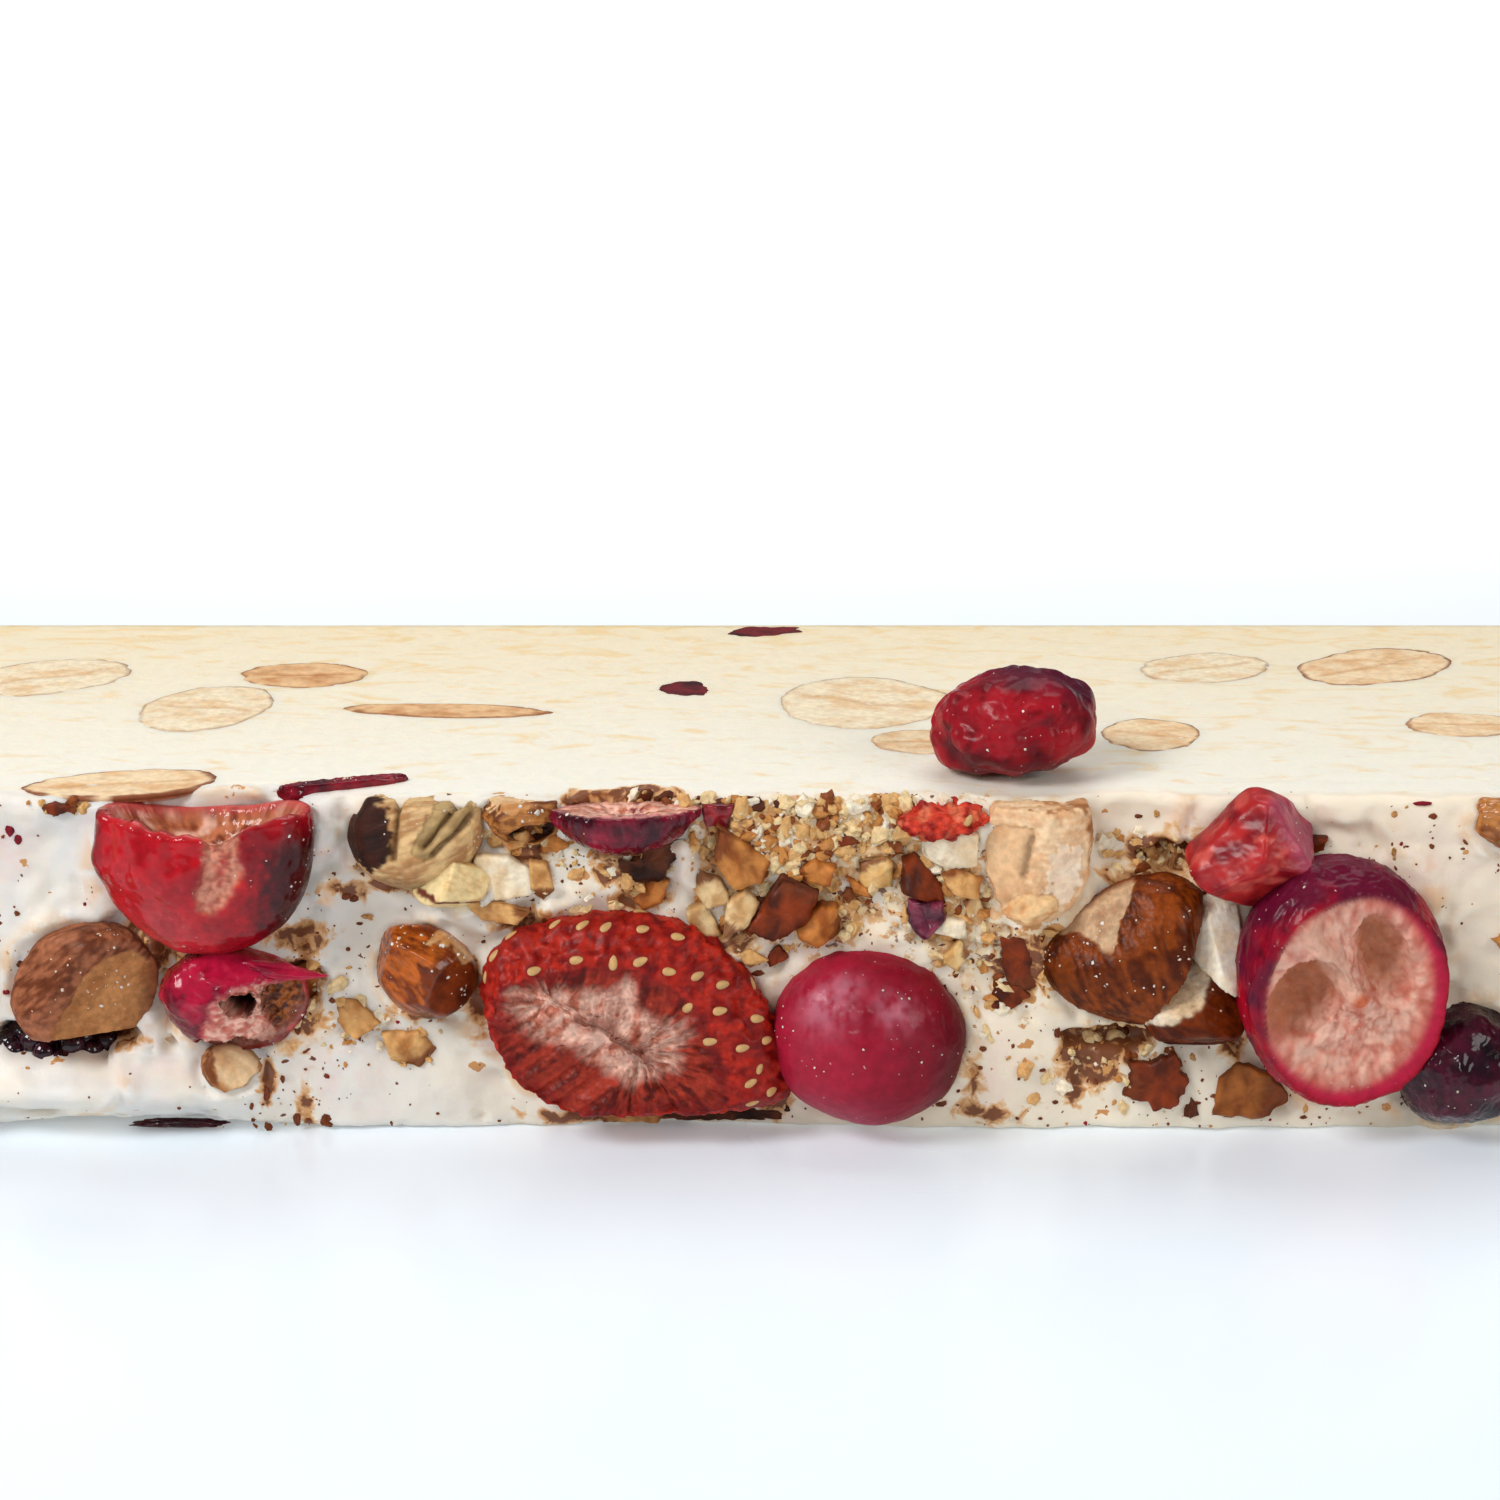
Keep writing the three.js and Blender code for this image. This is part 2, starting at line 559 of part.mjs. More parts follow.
for (const [side, list] of Object.entries(sections)) {
  for (const [number, { name, at, size, turn }] of list.entries()) {
    const form = name.startsWith('almond') ? forms.kernel : forms.berry;
    const colour = name.startsWith('fruit') ? colours.darkCranberry : colours.nutPale;
    const deep = 0.8 * Math.min(...size);
    const detail = facets.section;
    const spec = { size: [...size, deep], seed: 200 + number, taper: 0.22, dents: 0.08, detail };
    const { middle, tilt } = planes[side];
    const onPlane = (geometry) => toSolid(place(geometry, middle(at), [...tilt, turn]));
    addPiece(name, colour, onPlane(form(spec, 0)), onPlane(roomFor(form, spec, detail)), { flush: true });
  }
}

// ---- Chips fused to the nougat ---------------------------------------------

// Larger chips of the decorated side: x, z, half width, half height, turn in degrees.
const largeChips = [
  [-0.8, 20.8, 1.9, 1.5, 30],
  [2.5, 17.2, 3.2, 1.3, -40],
  [5.0, 16.6, 1.9, 1.2, 35],
  [-2.2, 17.9, 1.3, 1.2, 0],
  [-0.7, 16.2, 1.4, 1.0, 20],
  [6.0, 19.8, 1.3, 1.4, 10],
  [8.6, 19.0, 1.3, 1.1, 0],
  [3.4, 20.0, 1.2, 1.0, 50],
  [-8.1, 20.0, 2.3, 1.3, -20],
  [-6.4, 18.3, 1.6, 1.1, 15],
  [11.8, 19.0, 1.0, 2.5, -20],
  [12.6, 15.6, 1.2, 1.3, 0],
  [14.6, 18.6, 1.2, 1.4, 20],
  [19.0, 12.6, 1.7, 2.3, 15],
  [-15.4, 17.3, 2.2, 0.8, 10],
  [-12.8, 19.8, 1.1, 1.2, 0],
  [-27.3, 8.4, 1.7, 1.3, 20],
  [-23.6, 6.2, 1.7, 1.2, -20],
  [-30.8, 10.4, 1.3, 2.2, 10],
  [24.3, 5.4, 2.0, 1.6, 30],
  [28.2, 4.0, 2.0, 1.7, 10],
  [34.7, 3.2, 2.6, 1.6, 25],
  [55.5, 8.5, 2.0, 1.5, 20],
  [-56.0, 14.0, 1.8, 1.4, -30],
  [-64.5, 20.5, 1.5, 1.2, 0],
];

// Small crumbs, thickest in the sandy band right of the middle.
const crumbZones = [
  { count: 9, x: [-2, 14], z: [14.5, 23.2] },
  { count: 3, x: [-18, -3], z: [17.5, 22] },
  { count: 3, x: [15, 24], z: [3, 12] },
  { count: 2, x: [-33, -20], z: [3, 16] },
  { count: 2, x: [-73, -55], z: [3, 22] },
  { count: 2, x: [52, 73], z: [3, 22] },
];

function chips() {
  const random = seededRandom(17);
  const between = ([low, high]) => low + (high - low) * random();
  const list = largeChips.map(([x, z, wide, tall, turn]) => ({ x, z, wide, tall, turn, thick: 1 }));
  for (const zone of crumbZones) {
    for (let i = 0; i < zone.count; i++) {
      const wide = between([0.5, 1.0]);
      const [x, z] = [between(zone.x), between(zone.z)];
      list.push({ x, z, wide, tall: 0.8 * wide, turn: 180 * random(), thick: 0.6 });
    }
  }
  return list.map(({ x, z, wide, tall, turn, thick }, number) => {
    const y = face - outward(x, z) + 0.1;
    const size = [wide, thick, tall];
    const seed = 300 + number;
    return toSolid(place(forms.chip({ size, seed }), [x, y, z], [0, turn, 0]));
  });
}

// ---- The bar ---------------------------------------------------------------

function nougat() {
  let solid = nougatBlock();
  for (const chip of chips()) {
    solid = solid.add(chip);
  }
  for (const { room } of pieces.filter((piece) => !piece.rests)) {
    solid = solid.subtract(room);
  }
  return largest(solid);
}

function meshOf(name, colour, solid) {
  const geometry = toGeometry(solid);
  geometry.computeBoundingBox();
  const middle = geometry.boundingBox.getCenter(new THREE.Vector3());
  geometry.translate(-middle.x, -middle.y, -middle.z);
  geometry.computeVertexNormals();
  const material = new THREE.MeshStandardMaterial({ color: colour, roughness: 0.6, metalness: 0 });
  const mesh = new THREE.Mesh(geometry, material);
  mesh.name = name;
  mesh.position.copy(middle);
  return mesh;
}

const bar = new THREE.Group();
bar.name = 'nougat_bar';
bar.add(meshOf('nougat', colours.nougat, nougat()));
for (const { name, colour, solid } of pieces) {
  bar.add(meshOf(name, colour, solid));
}

export default bar;
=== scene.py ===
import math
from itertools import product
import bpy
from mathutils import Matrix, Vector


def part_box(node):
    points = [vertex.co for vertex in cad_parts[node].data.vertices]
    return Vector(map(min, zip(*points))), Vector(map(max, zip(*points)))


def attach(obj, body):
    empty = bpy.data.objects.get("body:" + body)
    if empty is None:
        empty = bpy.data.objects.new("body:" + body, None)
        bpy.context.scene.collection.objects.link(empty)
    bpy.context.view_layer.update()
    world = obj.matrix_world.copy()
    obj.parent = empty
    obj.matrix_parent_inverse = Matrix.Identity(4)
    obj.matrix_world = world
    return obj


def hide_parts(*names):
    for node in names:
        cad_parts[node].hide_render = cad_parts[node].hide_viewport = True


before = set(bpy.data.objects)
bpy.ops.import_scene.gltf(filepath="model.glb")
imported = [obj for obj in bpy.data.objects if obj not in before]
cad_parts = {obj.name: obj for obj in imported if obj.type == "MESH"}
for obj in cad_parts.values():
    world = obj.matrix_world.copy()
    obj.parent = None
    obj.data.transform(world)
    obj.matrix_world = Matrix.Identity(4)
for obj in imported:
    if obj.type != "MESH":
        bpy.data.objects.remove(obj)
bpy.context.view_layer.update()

# Nougat bar with nuts and dried fruit. Shapes are worked out in millimetres and scaled to metres last.
# X runs along the bar, -Y is the decorated side, +Z is up.
from types import SimpleNamespace

import bmesh
import bpy
import numpy as np
from mathutils import Vector

mm = 0.001


def boxOf(node):  # low and high corner, in millimetres
    return [np.array(corner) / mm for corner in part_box(node)]


halfLength, halfDepth, barHeight = boxOf("nougat")[1]
face = -halfDepth  # mean plane of the decorated side


# Numbers and noise

corners = np.array(list(product((0, 1), repeat=3)))
neighbours = np.array(list(product((-1, 0, 1), repeat=3)))
scramblers = 73856093, 19349663, 83492791, 668265263, 739982445, 695872825
wordMask = 0xFFFFFFFF
tenBits = 1023
screenCurve = {"toe": 0.04045, "slope": 12.92, "offset": 0.055, "power": 2.4}


def hashed(cell, seed):
    n = cell[:, 0] * scramblers[0] ^ cell[:, 1] * scramblers[1] ^ cell[:, 2] * scramblers[2]
    n = (n ^ np.int64((seed + 1) * scramblers[3])) & wordMask
    for scrambler, shift in zip(scramblers[4:], (15, 12)):
        n = ((n ^ (n >> shift)) * scrambler) & wordMask
    return n ^ (n >> 15)


def scattered(cell, seed):  # a place of its own in each cell, 0 to 1 along each axis
    h = hashed(cell, seed)
    return np.stack([h & tenBits, (h >> 10) & tenBits, (h >> 20) & tenBits], 1) / tenBits


def noise(points, seed=0):
    base = np.floor(points).astype(np.int64)
    part = points - base
    ease = part**3 * (part * (part * 6 - 15) + 10)
    total = np.zeros(len(points))
    for corner in corners:
        slope = 2 * scattered(base + corner, seed) - 1
        weight = np.where(corner == 1, ease, 1 - ease).prod(1)
        total += weight * (slope * (part - corner)).sum(1)
    return total


def layered(points, seed=0, layers=4):
    return sum(0.5**i * noise(points * 2.03**i, seed + 7 * i) for i in range(layers))


def ridged(points, seed=0, layers=3):
    return sum(0.5**i * (1 - 3 * np.abs(noise(points * 2.1**i, seed + 5 * i))) for i in range(layers)) / 1.75


def nearest(points, seed=0):  # distance to the nearest of many scattered points
    base = np.floor(points).astype(np.int64)
    spots = [base + step + scattered(base + step, seed) for step in neighbours]
    return np.sqrt(np.min([((points - spot) ** 2).sum(1) for spot in spots], axis=0))


def smooth(value, low, high):
    t = np.clip((value - low) / (high - low), 0, 1)
    return t * t * (3 - 2 * t)


def clouds(points, seed, low, high, layers=3):  # soft patches, 0 to 1
    return smooth(layered(points, seed, layers), low, high)


def hat(distance, width, power=2):  # 1 at no distance, fading to 0
    return np.exp(-((distance / width) ** power))


def tint(*numbers):  # screen colour, 0 to 255, as light
    c = np.array(numbers) / 255
    curve = screenCurve
    bright = ((c + curve["offset"]) / (1 + curve["offset"])) ** curve["power"]
    return np.where(c <= curve["toe"], c / curve["slope"], bright)


def tints(*numbers):  # a light and a dark colour
    return tint(*numbers[:3]), tint(*numbers[3:])


def blend(a, b, share):  # three bare numbers are a screen colour
    a, b = (tint(*colour) if isinstance(colour, tuple) else colour for colour in (a, b))
    share = np.asarray(share)[:, None]
    return a * (1 - share) + b * share


def turnMatrix(turn):
    x, y, z = [math.radians(angle) for angle in turn]
    aboutX = np.array([[1, 0, 0], [0, math.cos(x), -math.sin(x)], [0, math.sin(x), math.cos(x)]])
    aboutY = np.array([[math.cos(y), 0, math.sin(y)], [0, 1, 0], [-math.sin(y), 0, math.cos(y)]])
    aboutZ = np.array([[math.cos(z), -math.sin(z), 0], [math.sin(z), math.cos(z), 0], [0, 0, 1]])
    return aboutX @ aboutY @ aboutZ


# Shapes

balls = {}


def ball(level):  # 20 * 4**(level - 1) triangles
    if level not in balls:
        mesh = bmesh.new()
        bmesh.ops.create_icosphere(mesh, subdivisions=level, radius=1)
        points = np.array([v.co for v in mesh.verts])
        balls[level] = points, np.array([[v.index for v in f.verts] for f in mesh.faces])
        mesh.free()
    points, triangles = balls[level]
    return points.copy(), triangles


def normalsOf(points, faces):
    a, b, c = (points[faces[:, i]] for i in range(3))
    flat = np.cross(b - a, c - a) if faces.shape[1] == 3 else np.cross(c - a, points[faces[:, 3]] - b)
    normals = np.zeros_like(points)
    for column, axis in product(range(faces.shape[1]), range(3)):
        normals[:, axis] += np.bincount(faces[:, column], flat[:, axis], len(points))
    return normals / np.maximum(np.linalg.norm(normals, axis=1), 1e-12)[:, None]


def relaxed(points, faces, rounds=1, where=None):  # each point moves half way to its neighbours' middle
    start = faces.T.ravel()
    end = np.roll(faces, -1, axis=1).T.ravel()
    count = np.bincount(start, minlength=len(points)) + np.bincount(end, minlength=len(points))
    share = 0.5 if where is None else 0.5 * where[:, None]
    for _ in range(rounds):
        total = np.zeros_like(points)
        for axis in range(3):
            total[:, axis] = np.bincount(start, points[end, axis], len(points))
            total[:, axis] += np.bincount(end, points[start, axis], len(points))
        points = points + share * (total / count[:, None] - points)
    return points


# Trims a form with flat breaks seen from its middle. Says how much each break shows at a point.
def trimmed(points, cuts, sharp):
    reach = np.linalg.norm(points, axis=1)
    out = points / reach[:, None]
    inverse = reach**-sharp
    shares = []
    for facing, distance in cuts:
        share = np.maximum(out @ (np.array(facing) / np.linalg.norm(facing)) / distance, 0) ** sharp
        inverse = inverse + share
        shares.append(share)
    return out * (inverse ** (-1 / sharp))[:, None], [share / inverse for share in shares]


# Scoops an egg-shaped hollow: what lies in front of its far wall moves on to it.
def carved(points, at, size, turn=(0, 0, 0), axis=1, sign=1):
    matrix = turnMatrix(turn)
    local = (points - at) @ matrix
    across = sum((local[:, i] / size[i]) ** 2 for i in range(3) if i != axis)
    wall = size[axis] * np.sqrt(np.maximum(1 - across, 0))
    depth = np.where(across < 1, np.maximum(wall - sign * local[:, axis], 0), 0)
    depth = np.where(depth < 1.9 * size[axis] + 2, depth, 0)  # the far side of the form stays
    local[:, axis] += sign * depth
    return local @ matrix.T + at, np.clip(depth / size[axis], 0, 1)


# Distance inside (+) or outside (-) an outline given as x and z.
def within(x, z, outline):
    spot = np.column_stack([x, z])[:, None]
    start = np.array(outline, float)
    side = np.roll(start, -1, axis=0) - start
    share = np.clip(((spot - start) * side).sum(2) / (side**2).sum(1), 0, 1)
    gap = np.linalg.norm(spot - start - share[..., None] * side, axis=2).min(1)
    crosses = (start[:, 1] > spot[..., 1]) != ((start + side)[:, 1] > spot[..., 1])
    steep = np.where(side[:, 1] == 0, 1e-9, side[:, 1])
    left = spot[..., 0] < start[:, 0] + side[:, 0] * (spot[..., 1] - start[:, 1]) / steep
    return np.where((crosses & left).sum(1) % 2 == 1, gap, -gap)


def alongLine(x, z, start, end):  # distance from a straight line piece
    start, side = np.array(start), np.array(end) - np.array(start)
    share = np.clip(((x - start[0]) * side[0] + (z - start[1]) * side[1]) / (side**2).sum(), 0, 1)
    return np.hypot(x - start[0] - share * side[0], z - start[1] - share * side[1])


# A pressed-in piece: an uneven ball or kernel, with flat breaks, in its place. Returns what the finish needs.
def formed(look):
    out, faces = ball(look.get("level", 6))
    shape = out.copy()
    if "square" in look:  # nearer a block than a ball
        shape *= ((np.abs(out) ** look["square"]).sum(1) ** (-1 / look["square"]))[:, None]
    if "taper" in look:
        shape[:, 1:] *= (1 - look["taper"] * ((1 - out[:, 0]) / 2) ** 1.6)[:, None]
    if "tips" in look:
        shape[:, 1:] *= (1 - look["tips"] * np.abs(out[:, 0]) ** 3)[:, None]
    uneven = look["dents"] * layered(out * look.get("dentScale", 1.4), look["seed"], 2)
    shape *= (1 + 1.6 * uneven)[:, None]
    points = (shape * look["size"]) @ turnMatrix(look.get("turn", (0, 0, 0))).T
    points, shares = trimmed(points, look.get("cuts", ()), look.get("sharp", 26))
    return SimpleNamespace(points=points, faces=faces, out=out, shares=shares, look=look)


def fitted(form, node):  # makes a form fill the same box as the solid it stands for
    low, high = boxOf(node)
    least, most = form.points.min(0), form.points.max(0)
    form.points = (low + high) / 2 + (form.points - (least + most) / 2) * (high - low) / (most - least)


def onBar(form):  # x and z on the bar of a form that still lies round its own middle
    return form.points[:, 0] + form.look["middle"][0], form.points[:, 2] + form.look["middle"][2]


# Presses back what lies outside an outline, so that only the outlined part stands out.
def sunk(form, ragged=0.2, level=0.4):
    points = form.points.copy()
    wander = ragged * layered(points * 1.4, form.look["seed"] + 50, 3)
    gap = within(*onBar(form), form.look["outline"]) + wander
    points[:, 1] += smooth(gap, 0.15, -0.25) * np.maximum(level - points[:, 1], 0)
    form.points = points


def swell(form, amount):
    form.points = form.points + normalsOf(form.points, form.faces) * np.asarray(amount)[:, None]


# Making pieces

def meshPiece(name, points, faces, material, nodes, paint=None, wet=0, masks=None, flat=False):
    mesh = bpy.data.meshes.new(name)
    mesh.from_pydata((points * mm).tolist(), [], faces if isinstance(faces, list) else faces.tolist())
    if not flat:
        mesh.shade_smooth()
    if paint is not None:
        colours = np.ones((len(points), 4), np.float32)
        colours[:, :3] = np.clip(paint, 0, 1)
        mesh.attributes.new("paint", "FLOAT_COLOR", "POINT").data.foreach_set("color", colours.ravel())
    for key, values in (masks or {"wet": np.broadcast_to(wet, len(points))}).items():
        data = np.clip(values, 0, 1).astype(np.float32)
        mesh.attributes.new(key, "FLOAT", "POINT").data.foreach_set("value", data)
    mesh.materials.append(material)
    piece = bpy.data.objects.new(name, mesh)
    bpy.context.scene.collection.objects.link(piece)
    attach(piece, "root")
    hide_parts(*nodes)


def finishPiece(name, node, form, paint, material, wet):
    look = form.look
    if look.get("partHidden"):  # runs on inside its neighbour, so it keeps its own size
        x, stand, z = look["middle"]
        form.points = form.points + np.array([x, face - stand, z])
    else:
        fitted(form, node)
    y, z = form.points[:, 1], form.points[:, 2]
    foot, back = z.min(), y.max()
    form.points[:, 2] = foot + (z - foot) * look.get("tall", 1) + look.get("lift", 0)
    form.points[:, 1] = back + (y - back) * look.get("deep", 1)
    meshPiece(name, form.points, form.faces, material, (node,), relaxed(paint, form.faces), wet)


class Joined:  # many bits gathered into one piece
    def __init__(self, *first):
        self.points, self.faces, self.paint, self.count = [], [], [], 0
        if first:
            self.add(*first)

    def add(self, points, faces, paint):
        self.points.append(points)
        self.faces.append(faces + self.count)
        self.paint.append(paint)
        self.count += len(points)

    def all(self):
        return np.vstack(self.points), np.vstack(self.faces), np.vstack(self.paint)

    def piece(self, name, material, nodes, slot, wet):
        points, faces, paint = self.all()
        meshPiece(name, points, faces, material, nodes, paint, wet)


# Finishes

class Finish:
    # A node material that starts from painted colour and adds fine grain, wet and dry patches, and relief.
    def __init__(self, name, look):
        self.material = bpy.data.materials.new(name)
        self.material.use_nodes = True
        self.tree = self.material.node_tree
        self.shader = self.tree.nodes["Principled BSDF"]
        sockets = {
            "Roughness": look.get("roughness", 0.5), "Specular IOR Level": look.get("specular", 0.3),
            "Coat Weight": look.get("coat", 0), "Coat Roughness": look.get("coatRoughness", 0.15),
            "Subsurface Weight": look.get("soft", 0), "Subsurface Scale": look.get("softDepth", 1) * mm,
            "Subsurface Radius": look.get("softColour", (1, 0.4, 0.25)),
        }
        for key, value in sockets.items():
            self.shader.inputs[key].default_value = value
        place = self.tree.nodes.new("ShaderNodeTexCoord").outputs["Object"]
        self.place = self.scaled(place, 1 / mm)  # in millimetres

    def add(self, kind, inputs=None, **settings):
        node = self.tree.nodes.new("ShaderNode" + kind)
        for key, value in settings.items():
            setattr(node, key, value)
        for key, value in (inputs or {}).items():
            self.feed(node.inputs[key], value)
        return node

    def feed(self, socket, value):
        if isinstance(value, bpy.types.NodeSocket):
            self.tree.links.new(value, socket)
        elif value is not None:
            if np.ndim(value) == 1 and len(value) == 3 and len(socket.default_value) == 4:
                value = (*value, 1)
            socket.default_value = value

    def scaled(self, vector, by):
        by = by if isinstance(by, tuple) else (by, by, by)
        return self.add("VectorMath", {0: vector, 1: by}, operation="MULTIPLY").outputs[0]

    def mask(self, name):
        return self.add("Attribute", attribute_name=name).outputs["Fac"]

    def grain(self, scale, detail=3, roughness=0.55, stretch=(1, 1, 1), bend=0):
        return self.add("TexNoise", {
            "Vector": self.scaled(self.place, stretch), "Scale": scale, "Detail": detail,
            "Roughness": roughness, "Distortion": bend}).outputs["Fac"]

    def spots(self, scale, stretch=(1, 1, 1), bend=0):
        vector = self.scaled(self.place, stretch)
        if bend:
            wander = self.add("TexNoise", {"Scale": 1.4, "Vector": self.place}).outputs["Color"]
            shift = {0: wander, 1: (bend, bend, bend), 2: vector}
            vector = self.add("VectorMath", shift, operation="MULTIPLY_ADD").outputs[0]
        node = self.add("TexVoronoi", {"Vector": vector, "Scale": scale})
        return node.outputs["Distance"], node.outputs["Color"]

    def step(self, value, low, high, start=0, end=1):
        return self.add("MapRange", {
            "Value": value, "From Min": low, "From Max": high, "To Min": start, "To Max": end,
        }, interpolation_type="SMOOTHSTEP").outputs["Result"]

    def sum(self, kind, a, b=None):
        return self.add("Math", {0: a, 1: b}, operation=kind).outputs[0]

    def mixed(self, share, a, b, kind="MIX"):
        node = self.add("Mix", {"Factor": share, "A": a, "B": b}, data_type="RGBA", blend_type=kind)
        return node.outputs["Result"]

    def part(self, colour, channel):
        return self.add("SeparateXYZ", {0: colour}).outputs[channel]

    def relief(self, height, depth, strength, below=None):
        sockets = {"Height": height, "Strength": strength, "Distance": depth * mm, "Normal": below}
        return self.add("Bump", sockets).outputs["Normal"]

    def done(self, colour, roughness, normal=None):
        for key, value in (("Base Color", colour), ("Roughness", roughness), ("Normal", normal)):
            self.feed(self.shader.inputs[key], value)
        return self.material


# Painted food: fine mottling in the colour, wet and dry patches, and a fine relief.
def foodFinish(name, look):
    finish = Finish(name, look)
    mottle = look["mottle"]
    dark = finish.step(finish.grain(look["mottleScale"], 4), 0.35, 0.65, 1 - mottle, 1 + 0.5 * mottle)
    grey = finish.add("CombineColor", {0: dark, 1: dark, 2: dark}).outputs[0]
    painted = finish.add("Attribute", attribute_name="paint").outputs["Color"]
    colour = finish.mixed(1, painted, grey, "MULTIPLY")
    fine = finish.grain(look["fineScale"], 3, 0.6, look.get("stretch", (1, 1, 1)))
    if "dust" in look:  # pale powder in fine specks
        distance, own = finish.spots(look.get("dustScale", 3.2), bend=0.6)
        chosen = finish.step(finish.part(own, 0), 1 - look["dust"] - 0.02, 1 - look["dust"])
        share = finish.sum("MULTIPLY", chosen, finish.step(distance, 0.2, 0.12))
        colour = finish.mixed(share, colour, look["dustColour"])
    roughness = finish.step(finish.mask("wet"), 0, 1, look["dry"], look["wet"])
    roughness = finish.sum("ADD", roughness, finish.step(fine, 0.3, 0.7, -0.06, 0.08))
    return finish.done(colour, roughness, finish.relief(fine, look["relief"], look["strength"]))




# The nougat block

nougatLook = dict(
    stations=430, topRows=74, faceRows=84, bottomRows=14, backRows=26, capRings=34,
    softEdge=0.8, cutEdge=0.35, meniscus=0.45,  # the last is how far it climbs round each pressed-in piece
    broadWaves=0.6, fineWaves=0.16, pits=0.45, lip=1.1, edgeWear=0.45, dragged=0.22, endDrag=1.2,
    stainedFrom=-30,  # painted shade goes only into hollows right of this x; those further left stay clean
)

# Soft swells (+) and dents (-) of the decorated side: x, z, half width, half height, how far out.
swells = [
    (-47, 3.5, 9, 2.3, 3.3), (-36, 3, 4, 2.2, 1.4), (-27, 16.5, 5, 4.5, -1.5), (-16.5, 18, 4, 2, 0.8),
    (-50, 20, 6, 4, -0.8), (-5, 0.5, 9, 1.6, -1.2), (18, 5.5, 5, 4, 0.9), (26.5, 22.5, 4, 2.6, -1.7),
    (31, 3, 6, 2.5, 0.6), (50, 12.5, 6, 3, -0.9), (-64, 13, 5, 4, -1), (65, 3.5, 7, 3, 1),
    (-4.5, 20, 0.8, 2.8, 1.3), (-20, 16.2, 1.9, 1.1, 0.9), (-0.8, 13.4, 2.2, 0.8, 1),
    (-42, 6.6, 6, 0.9, 0.7),
]

# Where it is speckled with nut dust and skin: x, z, half width, half height, how much.
dusty = [
    (6, 21.5, 10, 3.6, 1), (3, 16, 7, 3, 0.7), (17, 9, 5, 7, 0.75), (27, 4, 9, 4, 0.8),
    (-26, 12, 7, 8, 0.5), (-14, 19, 6, 4, 0.55), (-51, 16, 3, 9, 0.1), (-32, 3, 5, 4, 0.5),
    (40, 2, 8, 2, 0.4), (46, 21, 7, 3, 0.3), (-8, 20, 5, 3, 0.6), (14, 16, 6, 4, 0.7), (-63, 12, 9, 9, 0.4),
    (63, 12, 9, 9, 0.4),
]

# Brown and honey-coloured smears on it: real stains, and painted shade in the gaps and hollows between the
# pieces.
smears = [
    (19, 12.4, 2.4, 2.6, 0.75), (24, 5.2, 2.6, 2, 0.9), (27, 18.8, 3.4, 1, 0.6),
    (-31.5, 9.3, 2.2, 3.2, 0.7), (-15.5, 15.6, 2.6, 1.2, 0.7), (4.8, 16, 2.6, 1.2, 0.6),
    (17, 1.6, 3.2, 1.2, 0.55), (-8, 0.9, 8, 0.9, 0.9), (-33.5, 4, 0.5, 2.2, 0.8), (-31, 1.4, 0.6, 1.8, 0.8),
    (12.5, 21, 1.3, 3, 0.7), (-41.5, 13, 2.5, 2.5, 0.7), (30.5, 21.8, 2.4, 1, 0.5),
    (-22.5, 9, 2.6, 0.9, 0.6), (15.5, 4, 1.2, 2.4, 0.45), (-27, 17.6, 3, 0.9, 0.6),
    (-31.6, 10.9, 1.7, 1.9, 1), (13.5, 17.5, 3, 3, 0.75), (-8.5, 19.6, 3, 1.6, 0.75),
    (24.5, 6.2, 3.4, 1.7, 1), (-41.8, 14.5, 1.4, 2.4, 1), (-31, 14.2, 2.4, 1.1, 0.8),
    (-2.4, 21.5, 0.8, 2.6, 0.95), (-7.5, 17.6, 2, 1.2, 0.8), (3, 23.2, 6, 0.9, 0.7),
    (18.6, 12.6, 2.4, 2.8, 0.9), (22.6, 3.4, 0.9, 1.6, 0.85), (27.8, 20.3, 2.4, 1.2, 1),
    (-18.9, 10, 0.9, 3, 0.8), (1.8, 3.2, 1.3, 2.4, 1), (-15, 20.6, 2.2, 1.6, 0.7),
    (6.5, 16.6, 2.6, 1.6, 0.75), (-1, 14.6, 1.8, 1.4, 0.8), (33.5, 7, 1.2, 1.6, 0.7),
    (-46, 6.9, 5, 0.5, 0.8), (-24.6, 17.9, 2.4, 0.7, 0.8),
]

# Pinkish places beside the berries.
blushes = [
    (-44.5, 20, 1.5, 4, 0.5), (-28.5, 21, 2, 4, 0.4), (-41, 6, 3, 3, 0.3), (-28, 4, 3, 4, 0.4),
    (-5, 21.5, 2, 3, 0.6), (16.5, 5, 2, 4, 0.4), (33, 22, 6, 3, 0.35), (46, 20, 6, 3, 0.3),
    (-51, 21, 2, 3, 0.5), (5, 14, 4, 1.5, 0.4),
]

# Sharper hollows beside and behind the pieces: x, z, half width, half height, how deep.
recesses = [
    (-36.8, 23.4, 5.7, 3, 2.3), (-8.5, 24.6, 4.3, 1.7, 1.5), (-47.8, 7.1, 5.2, 1.2, 3.6),
    (-40.3, 10.5, 0.8, 3.6, 2), (29.2, 20, 2.4, 1.2, 2.2), (25.2, 7, 3.2, 0.9, 1.6),
    (23.2, 4.9, 0.8, 1.6, 0.6), (-35.2, 11, 1.3, 1.3, 1.4), (-31.5, 10.9, 2.2, 1.4, 1.2),
    (-24.8, 19.4, 2.4, 0.6, 1), (-27.5, 22.8, 0.8, 1.8, 0.6),
]

# White folds among the crumbs.
cleanFold = [(-4.6, 20.2, 0.9, 2.6, 0.95), (-1.6, 13.6, 2.2, 0.8, 0.8)]
crumbled = dusty[:2] + dusty[11:12]  # where the nougat is mixed with crumbs


def hump(x, z, spot):
    return spot[4] * np.exp(-(((x - spot[0]) / spot[2]) ** 2) - ((z - spot[1]) / spot[3]) ** 2)


